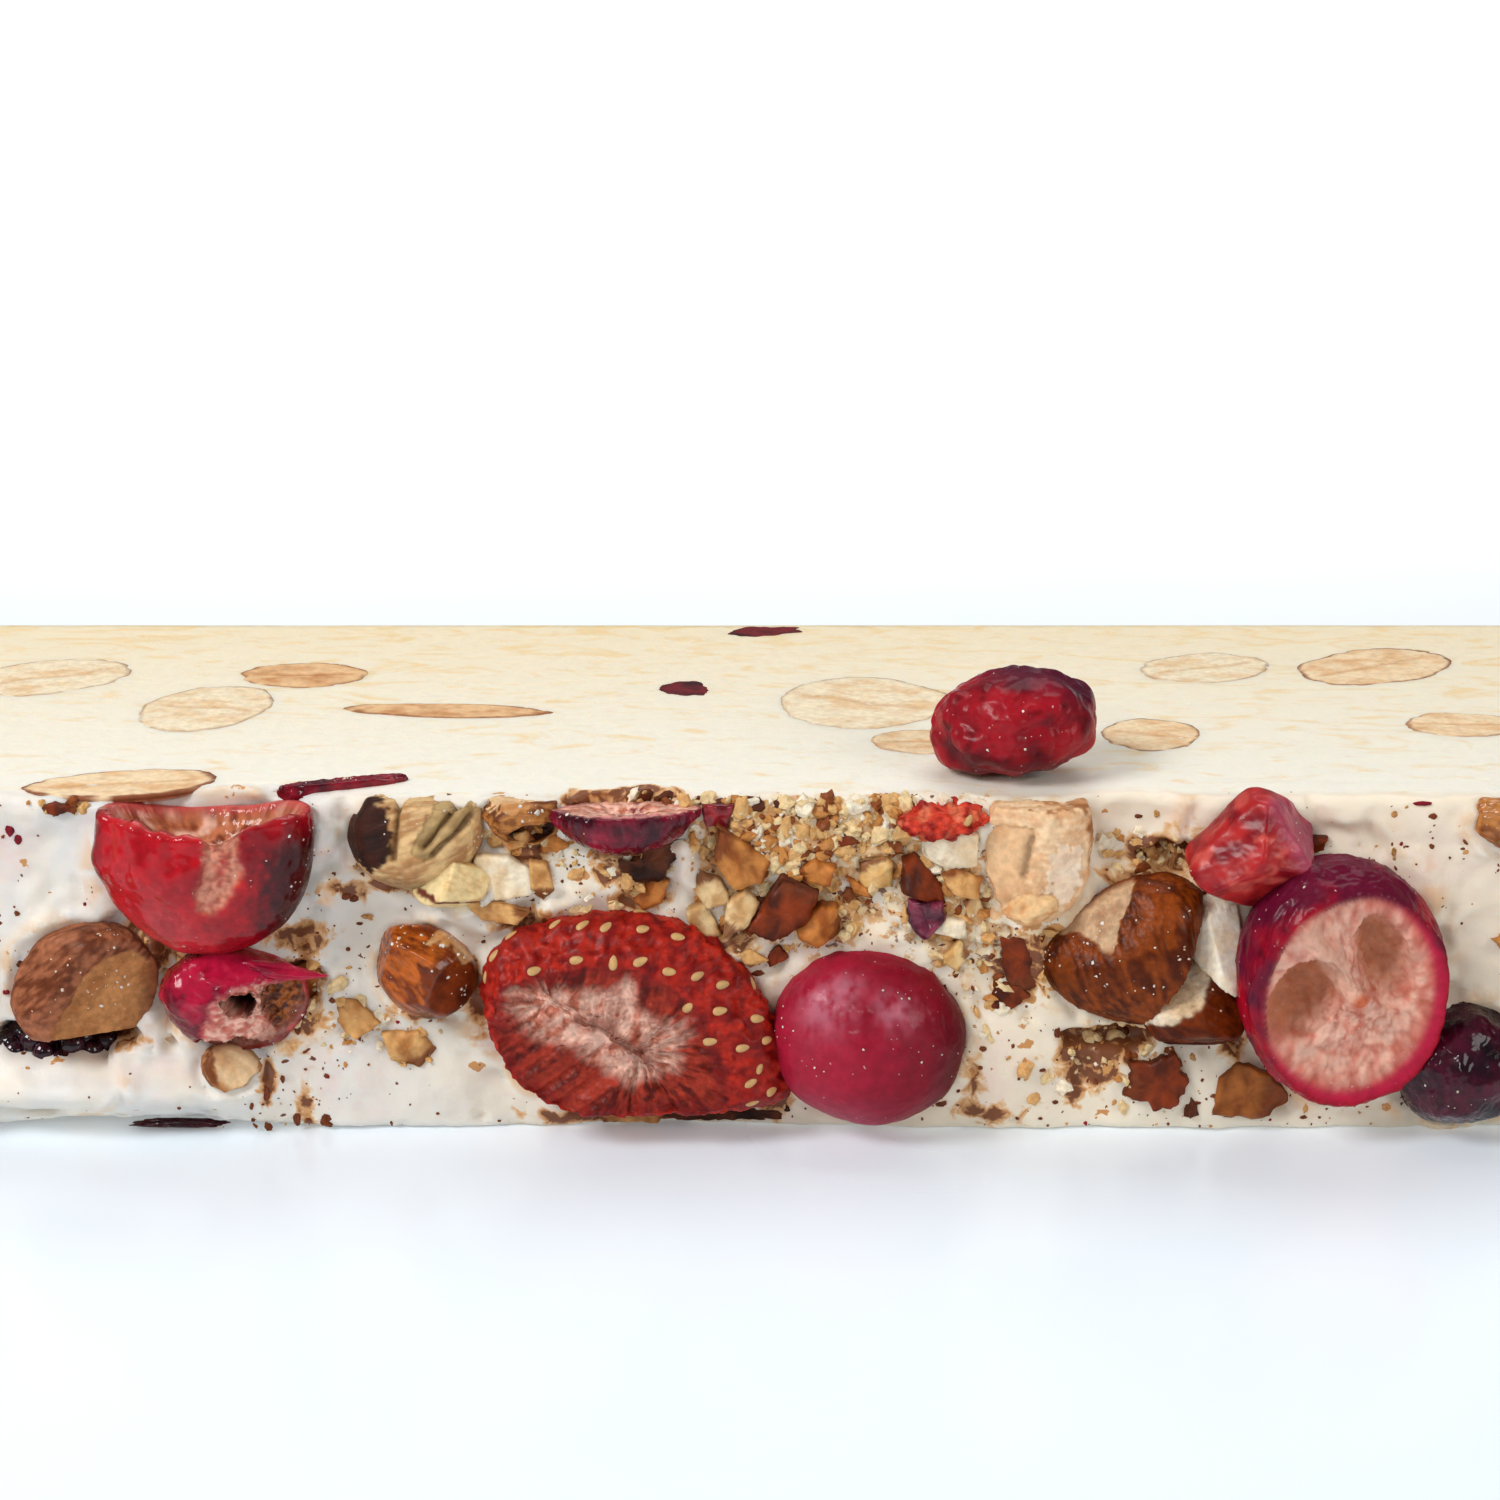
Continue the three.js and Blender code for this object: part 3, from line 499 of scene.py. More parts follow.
def spread(spots, x, z):
    return np.maximum.reduce([0 * x] + [hump(x, z, spot) for spot in spots])


# The pieces pressed into the decorated side, as middle and half size.
pressedIn = []
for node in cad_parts:
    if node not in ("nougat", "cranberry_on_top") and "_cut_" not in node:
        low, high = boxOf(node)
        pressedIn.append(((low + high) / 2, (high - low) / 2))


def climbing(x, z):
    climb = np.zeros_like(x)
    for centre, half in pressedIn:
        away = np.hypot((x - centre[0]) / half[0], (z - centre[2]) / half[2])
        climb = np.maximum(climb, hat(away - 1.08, 0.13))
    parted = clouds(np.column_stack([x, 0 * x, z]) * 0.3, 17, 0.1, -0.3, 2)
    return climb * (1 - 2.4 * parted)  # below nothing where it has parted from them


def recessed(x, z):
    deep = np.zeros_like(x)
    wander = 0.5 * layered(np.column_stack([x, 0 * x, z]) * 0.7, 15, 3)
    for sx, sz, wide, tall, depth in recesses:
        away = np.hypot((x - sx) / wide, (z - sz) / tall)
        deep = np.maximum(deep, depth * smooth(away + wander, 1.25, 0.7))
    return deep


def sandy(x, z):
    return 1.35 * spread(crumbled, x, z) * (1 - spread(cleanFold, x, z))


def faceY(x, z):  # where the surface of the decorated side lies
    look = nougatLook
    flat = np.column_stack([x, np.zeros_like(x), z])
    out = sum([hump(x, z, spot) for spot in swells], 0.25 * np.sin(0.43 * x + 0.9) * np.sin(0.37 * z + 0.4))
    out = out + look["broadWaves"] * layered(flat * 0.22, 3, 3)
    out += look["fineWaves"] * layered(flat * 0.8, 5, 3)
    out += sandy(x, z) * (0.7 * (0.45 - nearest(flat * 1.15, 9)) + 0.35 * layered(flat * 0.9, 11, 2))
    out -= look["pits"] * smooth(noise(flat * 0.55, 13), 0.32, 0.55)
    return face - out - look["meniscus"] * climbing(x, z) + recessed(x, z)


def sectionPath():
    look = nougatLook
    edge, cut = look["softEdge"], look["cutEdge"]
    wornCorner = 0.3 * cut
    path = []

    def line(start, end, count, bias=1):
        for i in range(count):
            share = 1 - (1 - i / count) ** bias
            path.append([a + (b - a) * share for a, b in zip(start, end)])

    def corner(y, z, begin):
        for i in range(6):
            angle = begin + math.pi / 2 * i / 6
            path.append([y + edge * math.cos(angle), z + edge * math.sin(angle)])

    line((halfDepth - cut, barHeight), (face + edge, barHeight), look["topRows"], 1.5)
    corner(face + edge, barHeight - edge, math.pi / 2)
    line((face, barHeight - edge), (face, edge), look["faceRows"])
    corner(face + edge, edge, math.pi)
    line((face + edge, 0), (halfDepth - cut, 0), look["bottomRows"])
    path.append([halfDepth - wornCorner, wornCorner])
    line((halfDepth, cut), (halfDepth, barHeight - cut), look["backRows"])
    path.append([halfDepth - wornCorner, barHeight - wornCorner])
    return np.array(path)


# Rings of equal count joined into a skin.
def ringFaces(rings, around):
    index = np.arange(rings * around).reshape(rings, around)
    a, b = index[:-1], index[1:]
    return np.stack([a, b, np.roll(b, -1, 1), np.roll(a, -1, 1)], -1).reshape(-1, 4)


def nougatBlock():
    look = nougatLook
    section = sectionPath()
    rows, cut = len(section), look["cutEdge"]
    middle = np.array([0, barHeight / 2])
    shares = np.linspace(0.04, 1, look["capRings"]) ** 0.8 * (1 - cut / halfDepth)
    caps = [middle + (section - middle) * share for share in shares]
    stations = np.linspace(-halfLength + cut, halfLength - cut, look["stations"])
    x = np.concatenate([np.full(len(caps), -halfLength), stations, np.full(len(caps), halfLength)])
    rings = np.array(caps + [section] * len(stations) + caps[::-1])
    points = np.column_stack([np.repeat(x, rows), rings.reshape(-1, 2)])
    x, y, z = points.T.copy()
    near = smooth(y, face + 5, face + 0.2)
    points[:, 1] += near * (faceY(x, z) - face)
    points[:, 2] += look["lip"] * hat(x + 43, 10) * np.maximum(0, 1 - z / 5) * near  # at the lower left
    # faint waves on the cut top, and wear along its front edge
    topShare = smooth(z, barHeight - 0.6, barHeight - 0.05) * (1 - smooth(y, face + 1.2, face + 0.1))
    drag = noise(points * (0.05, 0.9, 0.3), 21) + layered(points * 0.15, 23, 2)
    points[:, 2] += topShare * np.minimum(0.03 * drag, 0)
    wear = np.maximum(0, look["edgeWear"] * layered(points * (0.35, 0.2, 0.2), 29, 3))
    points[:, 2] -= hat(y - face - 0.4, 0.9) * smooth(z, barHeight - 2, barHeight - 0.2) * wear
    # shallow knife drag on the back and both ends
    dragged = np.maximum(0, 0.10 + look["dragged"] * layered(points * (0.16, 0.3, 0.12), 33, 4))
    points[:, 1] -= dragged * smooth(y, halfDepth - 0.5, halfDepth - 0.05)
    atEnd = smooth(np.abs(x), halfLength - 0.3, halfLength - 0.02)
    points[:, 0] -= look["endDrag"] * dragged * np.sign(x) * atEnd * smooth(y, face + 0.5, face + 3)
    points[:, 2] = np.clip(points[:, 2], 0, barHeight)
    points = np.vstack([points, points[:rows].mean(0), points[-rows:].mean(0)])
    onFace = np.append(smooth(y, face + 2, face + 0.4), (0, 0))

    count = len(rings)
    faces = ringFaces(count, rows).tolist()
    for first, hub, way in ((0, count * rows, 1), ((count - 1) * rows, count * rows + 1, -1)):
        faces += [[hub, first + i, first + (i + 1) % rows][::way] for i in range(rows)]

    x, y, z = points.T
    # painted shade: the deeper hollows right of stainedFrom are coloured like the brown stains
    hollows = smooth(recessed(x, z), 0.4, 1.2) * (x > look["stainedFrom"])
    stained = np.maximum(1.5 * spread(smears, x, z), 1.1 * hollows)
    masks = {
        "dust": (0.10 + spread(dusty, x, z)) * onFace,
        "smear": np.clip(stained, 0, 0.95) * onFace,
        "blush": spread(blushes, x, z) * onFace,
        "cut": 1 - onFace,
        "backward": (y + halfDepth) / (2 * halfDepth),
        "climb": climbing(x, z) * onFace,
        "sand": sandy(x, z) * onFace,
    }
    return points, faces, masks


nougatFinish = dict(
    cold=tint(226, 224, 219), warm=tint(241, 226, 203), cut=tint(251, 245, 231), cutBack=tint(250, 232, 198),
    stain=tint(247, 208, 140), brown=tint(112, 54, 20), red=tint(110, 20, 30), tan=tint(206, 146, 84),
    wet=tint(244, 231, 210), pink=tint(238, 200, 194), honey=tint(226, 178, 122), sand=tint(238, 216, 178),
    roughness=0.48, soft=0.35, softColour=(1, 0.75, 0.5), softDepth=2.2, specular=0.45,
    # soft stains with painted shade, and crumbly ground: where each colour starts, where it is full, how
    # strong
    smears=[(0.34, 0.58, 0.75, "honey"), (0.50, 0.72, 0.85, "tan"), (0.68, 0.88, 0.92, "brown")],
    ground=[(0.36, 0.42, "honey"), (0.66, 0.70, "tan"), (0.90, 0.93, "brown")],
    # specks, broad pale ones and then small dark ones: scale, stretch, bend, size, how many, colour
    specks=[
        (0.55, (1, 1, 1.4), 1.4, 0.34, 0.55, "tan"), (1, (1, 1, 1.3), 0.9, 0.24, 0.55, "brown"),
        (1.7, (1.3, 1, 1), 0.5, 0.22, 0.6, "brown"), (1.3, (1, 1, 1), 0.8, 0.14, 0.2, "red"),
    ],
)


def nougatMaterial():
    look = nougatFinish
    finish = Finish("nougat", look)

    def laid(mask, patches, colour, shade):  # one colour in patches where a mask allows it
        return finish.mixed(finish.sum("MULTIPLY", finish.mask(mask), patches), colour, look[shade])

    warmth = finish.step(finish.part(finish.place, 0), -50, 20)
    colour = finish.mixed(warmth, look["cold"], look["warm"])
    colour = finish.mixed(finish.step(finish.grain(0.16, 3), 0.38, 0.62, 0, 0.55), colour, look["wet"])
    colour = laid("climb", finish.step(finish.grain(0.45, 4), 0.42, 0.60, 0, 0.7), colour, "honey")
    colour = laid("blush", finish.step(finish.grain(0.6, 3), 0.35, 0.65), colour, "pink")
    cut = finish.mixed(finish.mask("backward"), look["cut"], look["cutBack"])
    veins = finish.grain(0.42, 4, 0.6, (0.35, 0.9, 0.7), 1.8)
    veins = finish.sum("ADD", veins, finish.sum("MULTIPLY", finish.mask("backward"), 0.09))
    cut = finish.mixed(finish.step(veins, 0.55, 0.76, 0, 0.6), cut, look["stain"])
    colour = finish.mixed(finish.mask("cut"), colour, cut)
    # real stains and painted shade: honey, then tan, then brown as the mask rises
    ragged = finish.step(finish.grain(0.75, 4, 0.55, bend=0.8), 0.25, 0.75, -0.36, 0.36)
    smeared = finish.sum("ADD", finish.mask("smear"), ragged)
    for low, high, much, shade in look["smears"]:
        colour = finish.mixed(finish.step(smeared, low, high, 0, much), colour, look[shade])
    pick = finish.part(finish.spots(1.6, (1, 1, 1.2), 0.7)[1], 0)
    ground = look["sand"]
    for low, high, shade in look["ground"]:
        ground = finish.mixed(finish.step(pick, low, high), ground, look[shade])
    cover = finish.sum("ADD", finish.mask("sand"), finish.step(finish.grain(0.9, 4), 0.25, 0.75, -0.4, 0.4))
    colour = finish.mixed(finish.step(cover, 0.44, 0.60, 0, 0.88), colour, ground)
    for scale, stretch, bend, size, share, shade in look["specks"]:
        distance, own = finish.spots(scale, stretch, bend)
        enough = finish.sum("SUBTRACT", 1, finish.sum("MULTIPLY", finish.mask("dust"), share))
        chosen = finish.sum("GREATER_THAN", finish.part(own, 0), enough)
        wide = finish.step(finish.part(own, 1), 0, 1, 0.35 * size, size)
        speck = finish.step(finish.sum("SUBTRACT", wide, distance), 0, 0.05)
        colour = finish.mixed(finish.sum("MULTIPLY", chosen, speck), colour, look[shade])
    normal = finish.relief(finish.grain(2.2, 5, 0.6), 0.10, 0.35)
    normal = finish.relief(finish.step(finish.spots(2.6)[0], 0.02, 0.14), 0.05, 0.35, normal)
    return finish.done(colour, finish.step(finish.grain(1.3, 3), 0.3, 0.7, 0.40, 0.60), normal)


points, faces, masks = nougatBlock()
meshPiece("nougat_block", points, faces, nougatMaterial(), ("nougat",), masks=masks)
print("nougat block:", len(points), "points")


# Cranberries

berryFinish = dict(
    soft=0.15, softColour=(1, 0.15, 0.12), softDepth=1.2, coat=0.5, coatRoughness=0.1, specular=0.06,
    wet=0.28, dry=0.62, mottle=0.16, mottleScale=1.6, fineScale=3, relief=0.03, strength=0.4, dust=0.035,
    dustScale=2.6, dustColour=(0.8, 0.55, 0.52),
)
dryBerryFinish = dict(
    soft=0.12, softColour=(1, 0.2, 0.18), softDepth=1, coat=0.2, coatRoughness=0.2, specular=0.06, wet=0.36,
    dry=0.7, mottle=0.12, mottleScale=1.3, fineScale=5, relief=0.04, strength=0.5, dust=0.06, dustScale=2.6,
    dustColour=(0.6, 0.3, 0.32),
)
darkBerryFinish = dict(
    soft=0.08, softColour=(1, 0.1, 0.1), softDepth=1, coat=0.5, coatRoughness=0.12, specular=0.06, wet=0.24,
    dry=0.5, mottle=0.3, mottleScale=1.2, fineScale=5, relief=0.04, strength=0.4, dust=0.02,
    dustColour=(0.7, 0.5, 0.45),
)
berrySkins = {
    "wet": foodFinish("cranberry_skin", berryFinish), "dry": foodFinish("cranberry_dry_skin", dryBerryFinish),
    "dark": foodFinish("cranberry_dark_skin", darkBerryFinish),
}
fleshPale, fleshPink, fleshLine, fleshDeep = (232, 182, 160), (208, 124, 106), (182, 84, 62), (188, 118, 80)
skinLine = (190, 24, 62)  # where the flesh meets the skin


# Flesh of a broken berry: pale and fibrous, pinker towards the skin, deeper orange in hollows, partly painted
# shade.
def fleshPaint(points, seed, rim, deep):
    fibre = layered(points * (1.3, 1.3, 0.6), seed)
    colour = blend(fleshPale, fleshPink, np.clip(0.22 + 1.4 * fibre + 0.75 * smooth(rim, 0.72, 1), 0, 1))
    colour = blend(colour, fleshLine, smooth(ridged(points * 0.8, seed + 3), 0.52, 0.9) * 0.7)
    return blend(colour, fleshDeep, smooth(deep, 0.15, 0.9) * 0.85)


def skinPaint(points, seed, light, dark, bias=0):
    colour = blend(light, dark, smooth(layered(points * 0.28, seed, 3) + bias, -0.25, 0.45))
    return blend(colour, colour * 0.55, clouds(points * 1.1, seed + 9, 0.2, 0.6))


def rimOf(points, look):  # 0 in the middle of the cut face, 1 at its edge
    inward = points @ turnMatrix(look["turn"]) / look["size"]
    return np.hypot(inward[:, 0], inward[:, 2]) / look["rim"]


cranberryOpen = dict(
    middle=(40.3, 3, 12.3), size=(7.4, 5.8, 9.1), turn=(0, -11, 0), seed=3, dents=0.02, level=7,
    cuts=[((0.16, -0.98, -0.12), 2.35)], sharp=34, rim=0.875,
    chambers=[
        dict(at=(-3, -2.8, -0.5), size=(2.6, 2.6, 3.5), turn=(0, 32, 0)),
        dict(at=(2.7, -2.6, 1.9), size=(2.1, 2.6, 4.2), turn=(0, -22, 0)),
    ],
    wall=((-3.6, 5.4), (0.4, -0.2)), wallWide=1, wallTall=0.7, core=(0.8, -0.5), coreSize=0.95, coreTall=0.6,
    dished=0.55, folds=0.34, fibres=0.32,
)


def makeCranberryOpen():
    look = cranberryOpen
    form = formed(look)
    flesh = smooth(form.shares[0], 0.35, 0.65)
    points = form.points
    rim = rimOf(points, look)
    deep = np.zeros(len(points))
    for chamber in look["chambers"]:
        points, depth = carved(points, **chamber)
        deep = np.maximum(deep, depth)
    x, z = points[:, 0], points[:, 2]
    wall = hat(alongLine(x, z, *look["wall"]), look["wallWide"]) * flesh
    coreX, coreZ = look["core"]
    core = np.exp(-(((x - coreX) ** 2 + (z - coreZ) ** 2) / look["coreSize"] ** 2)) * flesh
    points[:, 1] -= look["wallTall"] * wall + look["coreTall"] * core
    points[:, 1] += look["dished"] * flesh * smooth(rim, 0.97, 0.6) * (1 - wall)
    form.points = relaxed(points, form.faces, 3, np.maximum(smooth(deep, 0, 0.1), 0.15))
    fibre = layered(form.points * 0.8, 41)
    folds = ridged(form.points * (0.35, 0.5, 0.22), 43)
    lumpy = look["fibres"] * fibre * smooth(rim, 1, 0.85) + 0.10 * layered(form.points * 2.6, 45, 2)
    swell(form, flesh * lumpy + (1 - flesh) * look["folds"] * folds)
    paint = skinPaint(form.points, 47, (160, 10, 34), (98, 12, 42), 0.05 + 0.5 * form.out[:, 2])
    inner = fleshPaint(form.points, 49, rim, deep)
    inner = blend(inner, (220, 172, 148), smooth(wall, 0.3, 0.9) * 0.8)
    inner = blend(inner, (206, 92, 48), smooth(core, 0.3, 0.9) * 0.85)
    inner = blend(inner, skinLine, smooth(rim, 0.9, 1.02))
    paint = blend(paint, inner, smooth(form.shares[0] + 0.1 * fibre, 0.4, 0.62))
    wet = 0.75 * (1 - flesh) + 0.15 * deep
    finishPiece("cranberry_half", "cranberry_open", form, paint, berrySkins["dry"], wet)


cranberryWhole = dict(
    middle=(8.3, 0.4, 8.4), size=(6.9, 5.2, 6.5), turn=(0, 20, 0), seed=8, dents=0.035, level=7,
    tall=0.97, lift=-1,
    # which way each pale patch of bloom and painted highlight faces, and its width
    bloomAndHighlightAt=[(-0.46, -0.68, 0.56, 0.30), (0.26, -0.78, 0.56, 0.22), (-0.25, -0.6, 0.76, 0.2)],
)


def makeCranberryWhole():
    look = cranberryWhole
    form = formed(look)
    points = form.points
    out = form.out @ turnMatrix(look["turn"]).T
    right, up = out[:, 0], out[:, 2]
    wrinkles = ridged(points * 0.42, 61) * smooth(right, -0.1, 0.8)
    swell(form, 0.10 * wrinkles + 0.05 * layered(points * 1.4, 63, 3))
    points = form.points
    # painted shade: the skin darkens towards its right side, away from the light
    ground = 0.5 * layered(points * 0.35, 65, 3) + right
    paint = blend((164, 26, 52), (134, 14, 36), smooth(ground, -0.5, 0.5))
    paint = blend(paint, (84, 12, 22), 0.85 * smooth(right - 0.2 * up, 0.5, 0.95))
    # pale bloom laid where the highlights fall: real bloom and painted highlight
    highlightFacing = np.zeros(len(out))
    for *way, wide in look["bloomAndHighlightAt"]:
        away = np.linalg.norm(out - np.array(way) / math.sqrt(sum(step**2 for step in way)), axis=1)
        highlightFacing = np.maximum(highlightFacing, hat(away, wide))
    bloomAndHighlight = highlightFacing * clouds(points * (1.2, 1.2, 0.5), 67, -0.5, 0.3, 4)
    paint = blend(paint, (206, 132, 150), 0.62 * bloomAndHighlight)
    # painted light: the lower left of the skin is paler
    paint = blend(paint, (160, 66, 88), 0.55 * smooth(up, -0.2, -0.9) * smooth(right, 0.5, -0.2))
    finishPiece("cranberry_round", "cranberry_whole", form, paint, berrySkins["dry"], 0.5 + 0.3 * bloomAndHighlight)


cranberryCup = dict(
    middle=(-36.9, 1.4, 22.2), size=(7.6, 4.3, 8.5), seed=12, dents=0.02, level=7,
    cuts=[((0, 0, 1), 2.28)], sharp=60,
    inside=dict(at=(0.2, -0.25, 3.7), size=(7, 3.7, 5.2), axis=2, sign=-1),
    crack=[
        (-36.3, 25.5), (-36.5, 21.3), (-37.2, 19.3), (-37.1, 17.9), (-36.1, 17.7), (-34.7, 19.1),
        (-33.7, 20.9), (-34, 22.5), (-33.9, 25.5),
    ],
    # x, half width and height of the folds under the rim
    folds=[
        (-43.6, 0.6, 0.5), (-42.2, 0.5, 0.3), (-40.9, 0.7, 0.7), (-39.2, 0.7, 0.6), (-37.8, 0.6, 0.3),
        (-31.4, 0.8, 0.35),
    ],
)


def makeCranberryCup():
    look = cranberryCup
    form = formed(look)
    points, hollow = carved(form.points, **look["inside"])
    form.points = points = relaxed(points, form.faces, 3, smooth(hollow, 0, 0.05))
    gx, gz = onBar(form)
    forward = smooth(points[:, 1], 0.5, -1.5)
    front = forward * (1 - smooth(hollow, 0.02, 0.08))
    rough = layered(points * 1.7, 71)
    crack = smooth(within(gx, gz, look["crack"]) + 0.4 * rough, -0.15, 0.3) * front
    # the rim dips in front and lies lower behind
    dip = 1.2 * hat(gx + 37.4, 4) + 0.6 * hat(gx + 35.2, 0.9) + 0.3 * noise(points * 0.9, 72)
    dip = 0.75 * dip * forward + hat(gx + 37.2, 5, 4) * (1 - forward)
    points[:, 2] -= dip * smooth(points[:, 2], -1, 2.2)
    folds = sum(high * hat(gx - x - 0.2 * np.sin(gz * 1.1 + x), wide) for x, wide, high in look["folds"])
    puffed = 0.4 * hat(gz - 20.6 - 0.6 * np.sin(gx), 1.5) * smooth(gx, -35, -38)
    skinRelief = 0.75 * folds * smooth(gz, 18.8, 22) + puffed + 0.16 * layered(points * 0.55, 75, 3)
    torn = crack * (0.22 * rough + 0.12 * layered(points * 3.2, 74, 2) - 0.3)
    swell(form, torn + (1 - crack) * front * skinRelief + hollow * 0.25 * rough)
    side, up = form.out[:, 0], form.out[:, 2]
    # painted light and shade: the red darkens towards the right and goes near black there below the rim;
    # paler rose low on the left
    paint = blend((186, 18, 30), (146, 10, 24), smooth(layered(points * 0.3, 77, 3) + 0.3 * side, -0.3, 0.4))
    paint = blend(paint, (206, 70, 74), 0.35 * smooth(up, -0.3, -0.8) * smooth(side, 0.4, -0.3))
    paint = blend(paint, (54, 5, 10), smooth(side + 0.2 * rough, 0.34, 0.7) * smooth(gz, 24.4, 21.8) * 0.95)
    paint = blend(paint, (92, 8, 20), smooth(-side + 0.1 * rough, 0.78, 0.98))
    fine = layered(points * 3, 73, 3) + 0.5 * rough
    tanned = blend((222, 150, 122), (164, 76, 56), smooth(fine, -0.25, 0.35))
    tanned = blend(tanned, (176, 40, 44), clouds(points * 0.8, 78, 0.1, 0.4) * 0.6)
    paint = blend(paint, tanned, crack)
    inner = blend((196, 118, 80), (126, 56, 28), clouds(points * 1.1, 76, -0.2, 0.35, 4))
    inner = blend(inner, (232, 186, 164), clouds(points * 0.9, 79, 0, 0.35) * 0.85)
    paint = blend(paint, (206, 92, 88), smooth(form.shares[0], 0.4, 0.7) * (1 - crack) * 0.8)
    paint = blend(paint, inner, smooth(hollow, 0.03, 0.12))
    wet = np.clip(0.9 - 0.85 * crack - 0.9 * smooth(hollow, 0, 0.1), 0, 1)
    finishPiece("cranberry_cup_red", "cranberry_cup", form, paint, berrySkins["wet"], wet)


cranberryTorn = dict(
    middle=(-35.5, 1, 10.7), size=(5.3, 3.7, 4.3), turn=(0, 20, 0), seed=15, dents=0.05, level=7,
    cuts=[((0.45, -0.85, -0.3), 2.3)], sharp=9, outline=[(-42, 8.6), (-40.6, 12.2), (-38.6, 14.4),
        (-36.8, 15.6), (-34.5, 16.2), (-32, 15.6), (-30.8, 14), (-31.2, 12.9), (-32.1, 12), (-33, 11.1),
        (-33.2, 9.8), (-32.4, 8.8), (-32.8, 7.3), (-33.5, 6.9), (-34.3, 7.2), (-35.2, 8), (-36.6, 7.4),
        (-37.9, 8), (-38.6, 6.9), (-41.5, 6)],
    hole=[(-35.9, 11.6), (-35, 12.1), (-34.2, 12), (-33.8, 11.3), (-34.4, 10), (-35.4, 10.4)],
    flesh=[(-37.2, 11.3), (-36.4, 12.3), (-35.2, 12.9), (-33.4, 13.2), (-31.8, 12.9), (-30.2, 12.5),
        (-29.5, 10.5), (-31, 6.5), (-38.3, 6), (-38.1, 8.4), (-37.8, 9.6), (-37, 10.7)],
    gap=[(-33.2, 12.4), (-31.6, 12.7), (-29.5, 12.4), (-29.5, 8.4), (-32, 7.6), (-33.1, 9.4), (-33.5, 11)],
    strip=dict(at=(3.6, -1.35, 3), size=(3.3, 0.8, 0.62), turn=(0, 10, 0)),
)


def makeCranberryTorn():
    look = cranberryTorn
    form = formed(look)
    gx, gz = onBar(form)
    rough = layered(form.points * 1.6, 81)
    front = smooth(form.points[:, 1], 0.6, -0.6)
    hole = smooth(within(gx, gz, look["hole"]) + 0.3 * rough, -0.1, 0.2) * front
    inFlesh = within(gx, gz, look["flesh"])
    flesh = smooth(inFlesh + 0.5 * rough, -0.1, 0.25) * front
    gap = smooth(within(gx, gz, look["gap"]) + 0.4 * rough, -0.1, 0.3) * front
    sunk(form, 0.35, 0.2)
    points = form.points
    points[:, 1] += np.maximum(hole * (1.2 - points[:, 1]), gap * (0.3 - points[:, 1])).clip(0)
    lumpy = 0.35 * layered(points * 0.9, 83, 3) + 0.14 * layered(points * 2.8, 84, 2)
    swell(form, flesh * (1 - hole) * (lumpy - 0.2) + (1 - flesh) * 0.22 * ridged(points * 0.45, 86, 2))
    ground = layered(points * 0.5, 85, 3) - 0.5 * form.out[:, 2]
    paint = blend((176, 20, 56), (104, 4, 30), smooth(ground, -0.3, 0.4))
    pink = blend((238, 184, 164), (204, 116, 98), smooth(rough + 1.5 * lumpy, 0.3, -0.3))
    pink = blend(pink, (196, 60, 76), smooth(inFlesh + 0.4 * rough, 0.9, 0) * 0.75)
    # pink flesh laid in, and painted shade: the pushed-back hole is near black
    paint = blend(blend(paint, pink, flesh), (28, 8, 4), hole)
    paint = blend(paint, blend((176, 98, 40), (84, 34, 10), smooth(rough, -0.2, 0.3)), gap)
    # painted shade: brown where the berry lies back towards the nougat
    paint = blend(paint, (120, 56, 26), smooth(points[:, 1], -1.4, 0) * front * (1 - hole) * (1 - gap) * 0.8)
    strip, faces = ball(5)
    taper = 1 - 0.75 * np.maximum(strip[:, :1], 0) ** 1.5
    strip[:, 1:] *= taper * (1 + 0.35 * noise(strip * 2.5, 87))[:, None]
    strip[:, 2] += 0.35 * strip[:, 0] ** 2
    strip = (strip * look["strip"]["size"]) @ turnMatrix(look["strip"]["turn"]).T + look["strip"]["at"]
    both = Joined(form.points, form.faces, paint)
    both.add(strip, faces, skinPaint(strip, 89, (178, 22, 58), (116, 6, 34)))
    form.points, form.faces, paint = both.all()
    wet = np.append(0.85 * (1 - flesh), np.full(len(strip), 0.8))
    finishPiece("cranberry_torn_open", "cranberry_torn", form, paint, berrySkins["wet"], wet)


cranberryBoat = dict(
    middle=(-8.5, 1, 24.1), size=(5.5, 3.2, 3.1), turn=(0, -3, 0), seed=18, dents=0.04, tips=0.5,
    cuts=[((-0.02, 0.12, 1), 0.3)], sharp=34, level=7, hollow=dict(at=(-0.6, 0.2, 0.9), size=(4, 2.2, 1.1),
        axis=2, sign=-1),
)


def makeCranberryBoat():
    look = cranberryBoat
    form = formed(look)
    points, hollow = carved(form.points, **look["hollow"])
    form.points = points = relaxed(points, form.faces, 2, smooth(hollow, 0, 0.05))
    rough = layered(points * 1.5, 91)
    top = smooth(form.shares[0], 0.3, 0.6)
    swell(form, (1 - top) * 0.20 * ridged(points * (0.9, 0.6, 0.35), 93) + top * 0.25 * rough)
    paint = skinPaint(form.points, 95, (140, 12, 44), (54, 3, 20), 0.1)
    torn = blend((238, 184, 162), (186, 104, 74), smooth(rough, -0.1, 0.35))
    torn = blend(torn, (120, 16, 40), clouds(form.points * 0.8, 97, 0.15, 0.4))
    paint = blend(paint, torn, top)
    paint = blend(paint, (236, 150, 150), top * smooth(form.points[:, 1], -1.5, -2.3) * 0.7)
    finishPiece("cranberry_boat_dark", "cranberry_boat", form, paint, berrySkins["dark"], 0.8 - 0.6 * top)


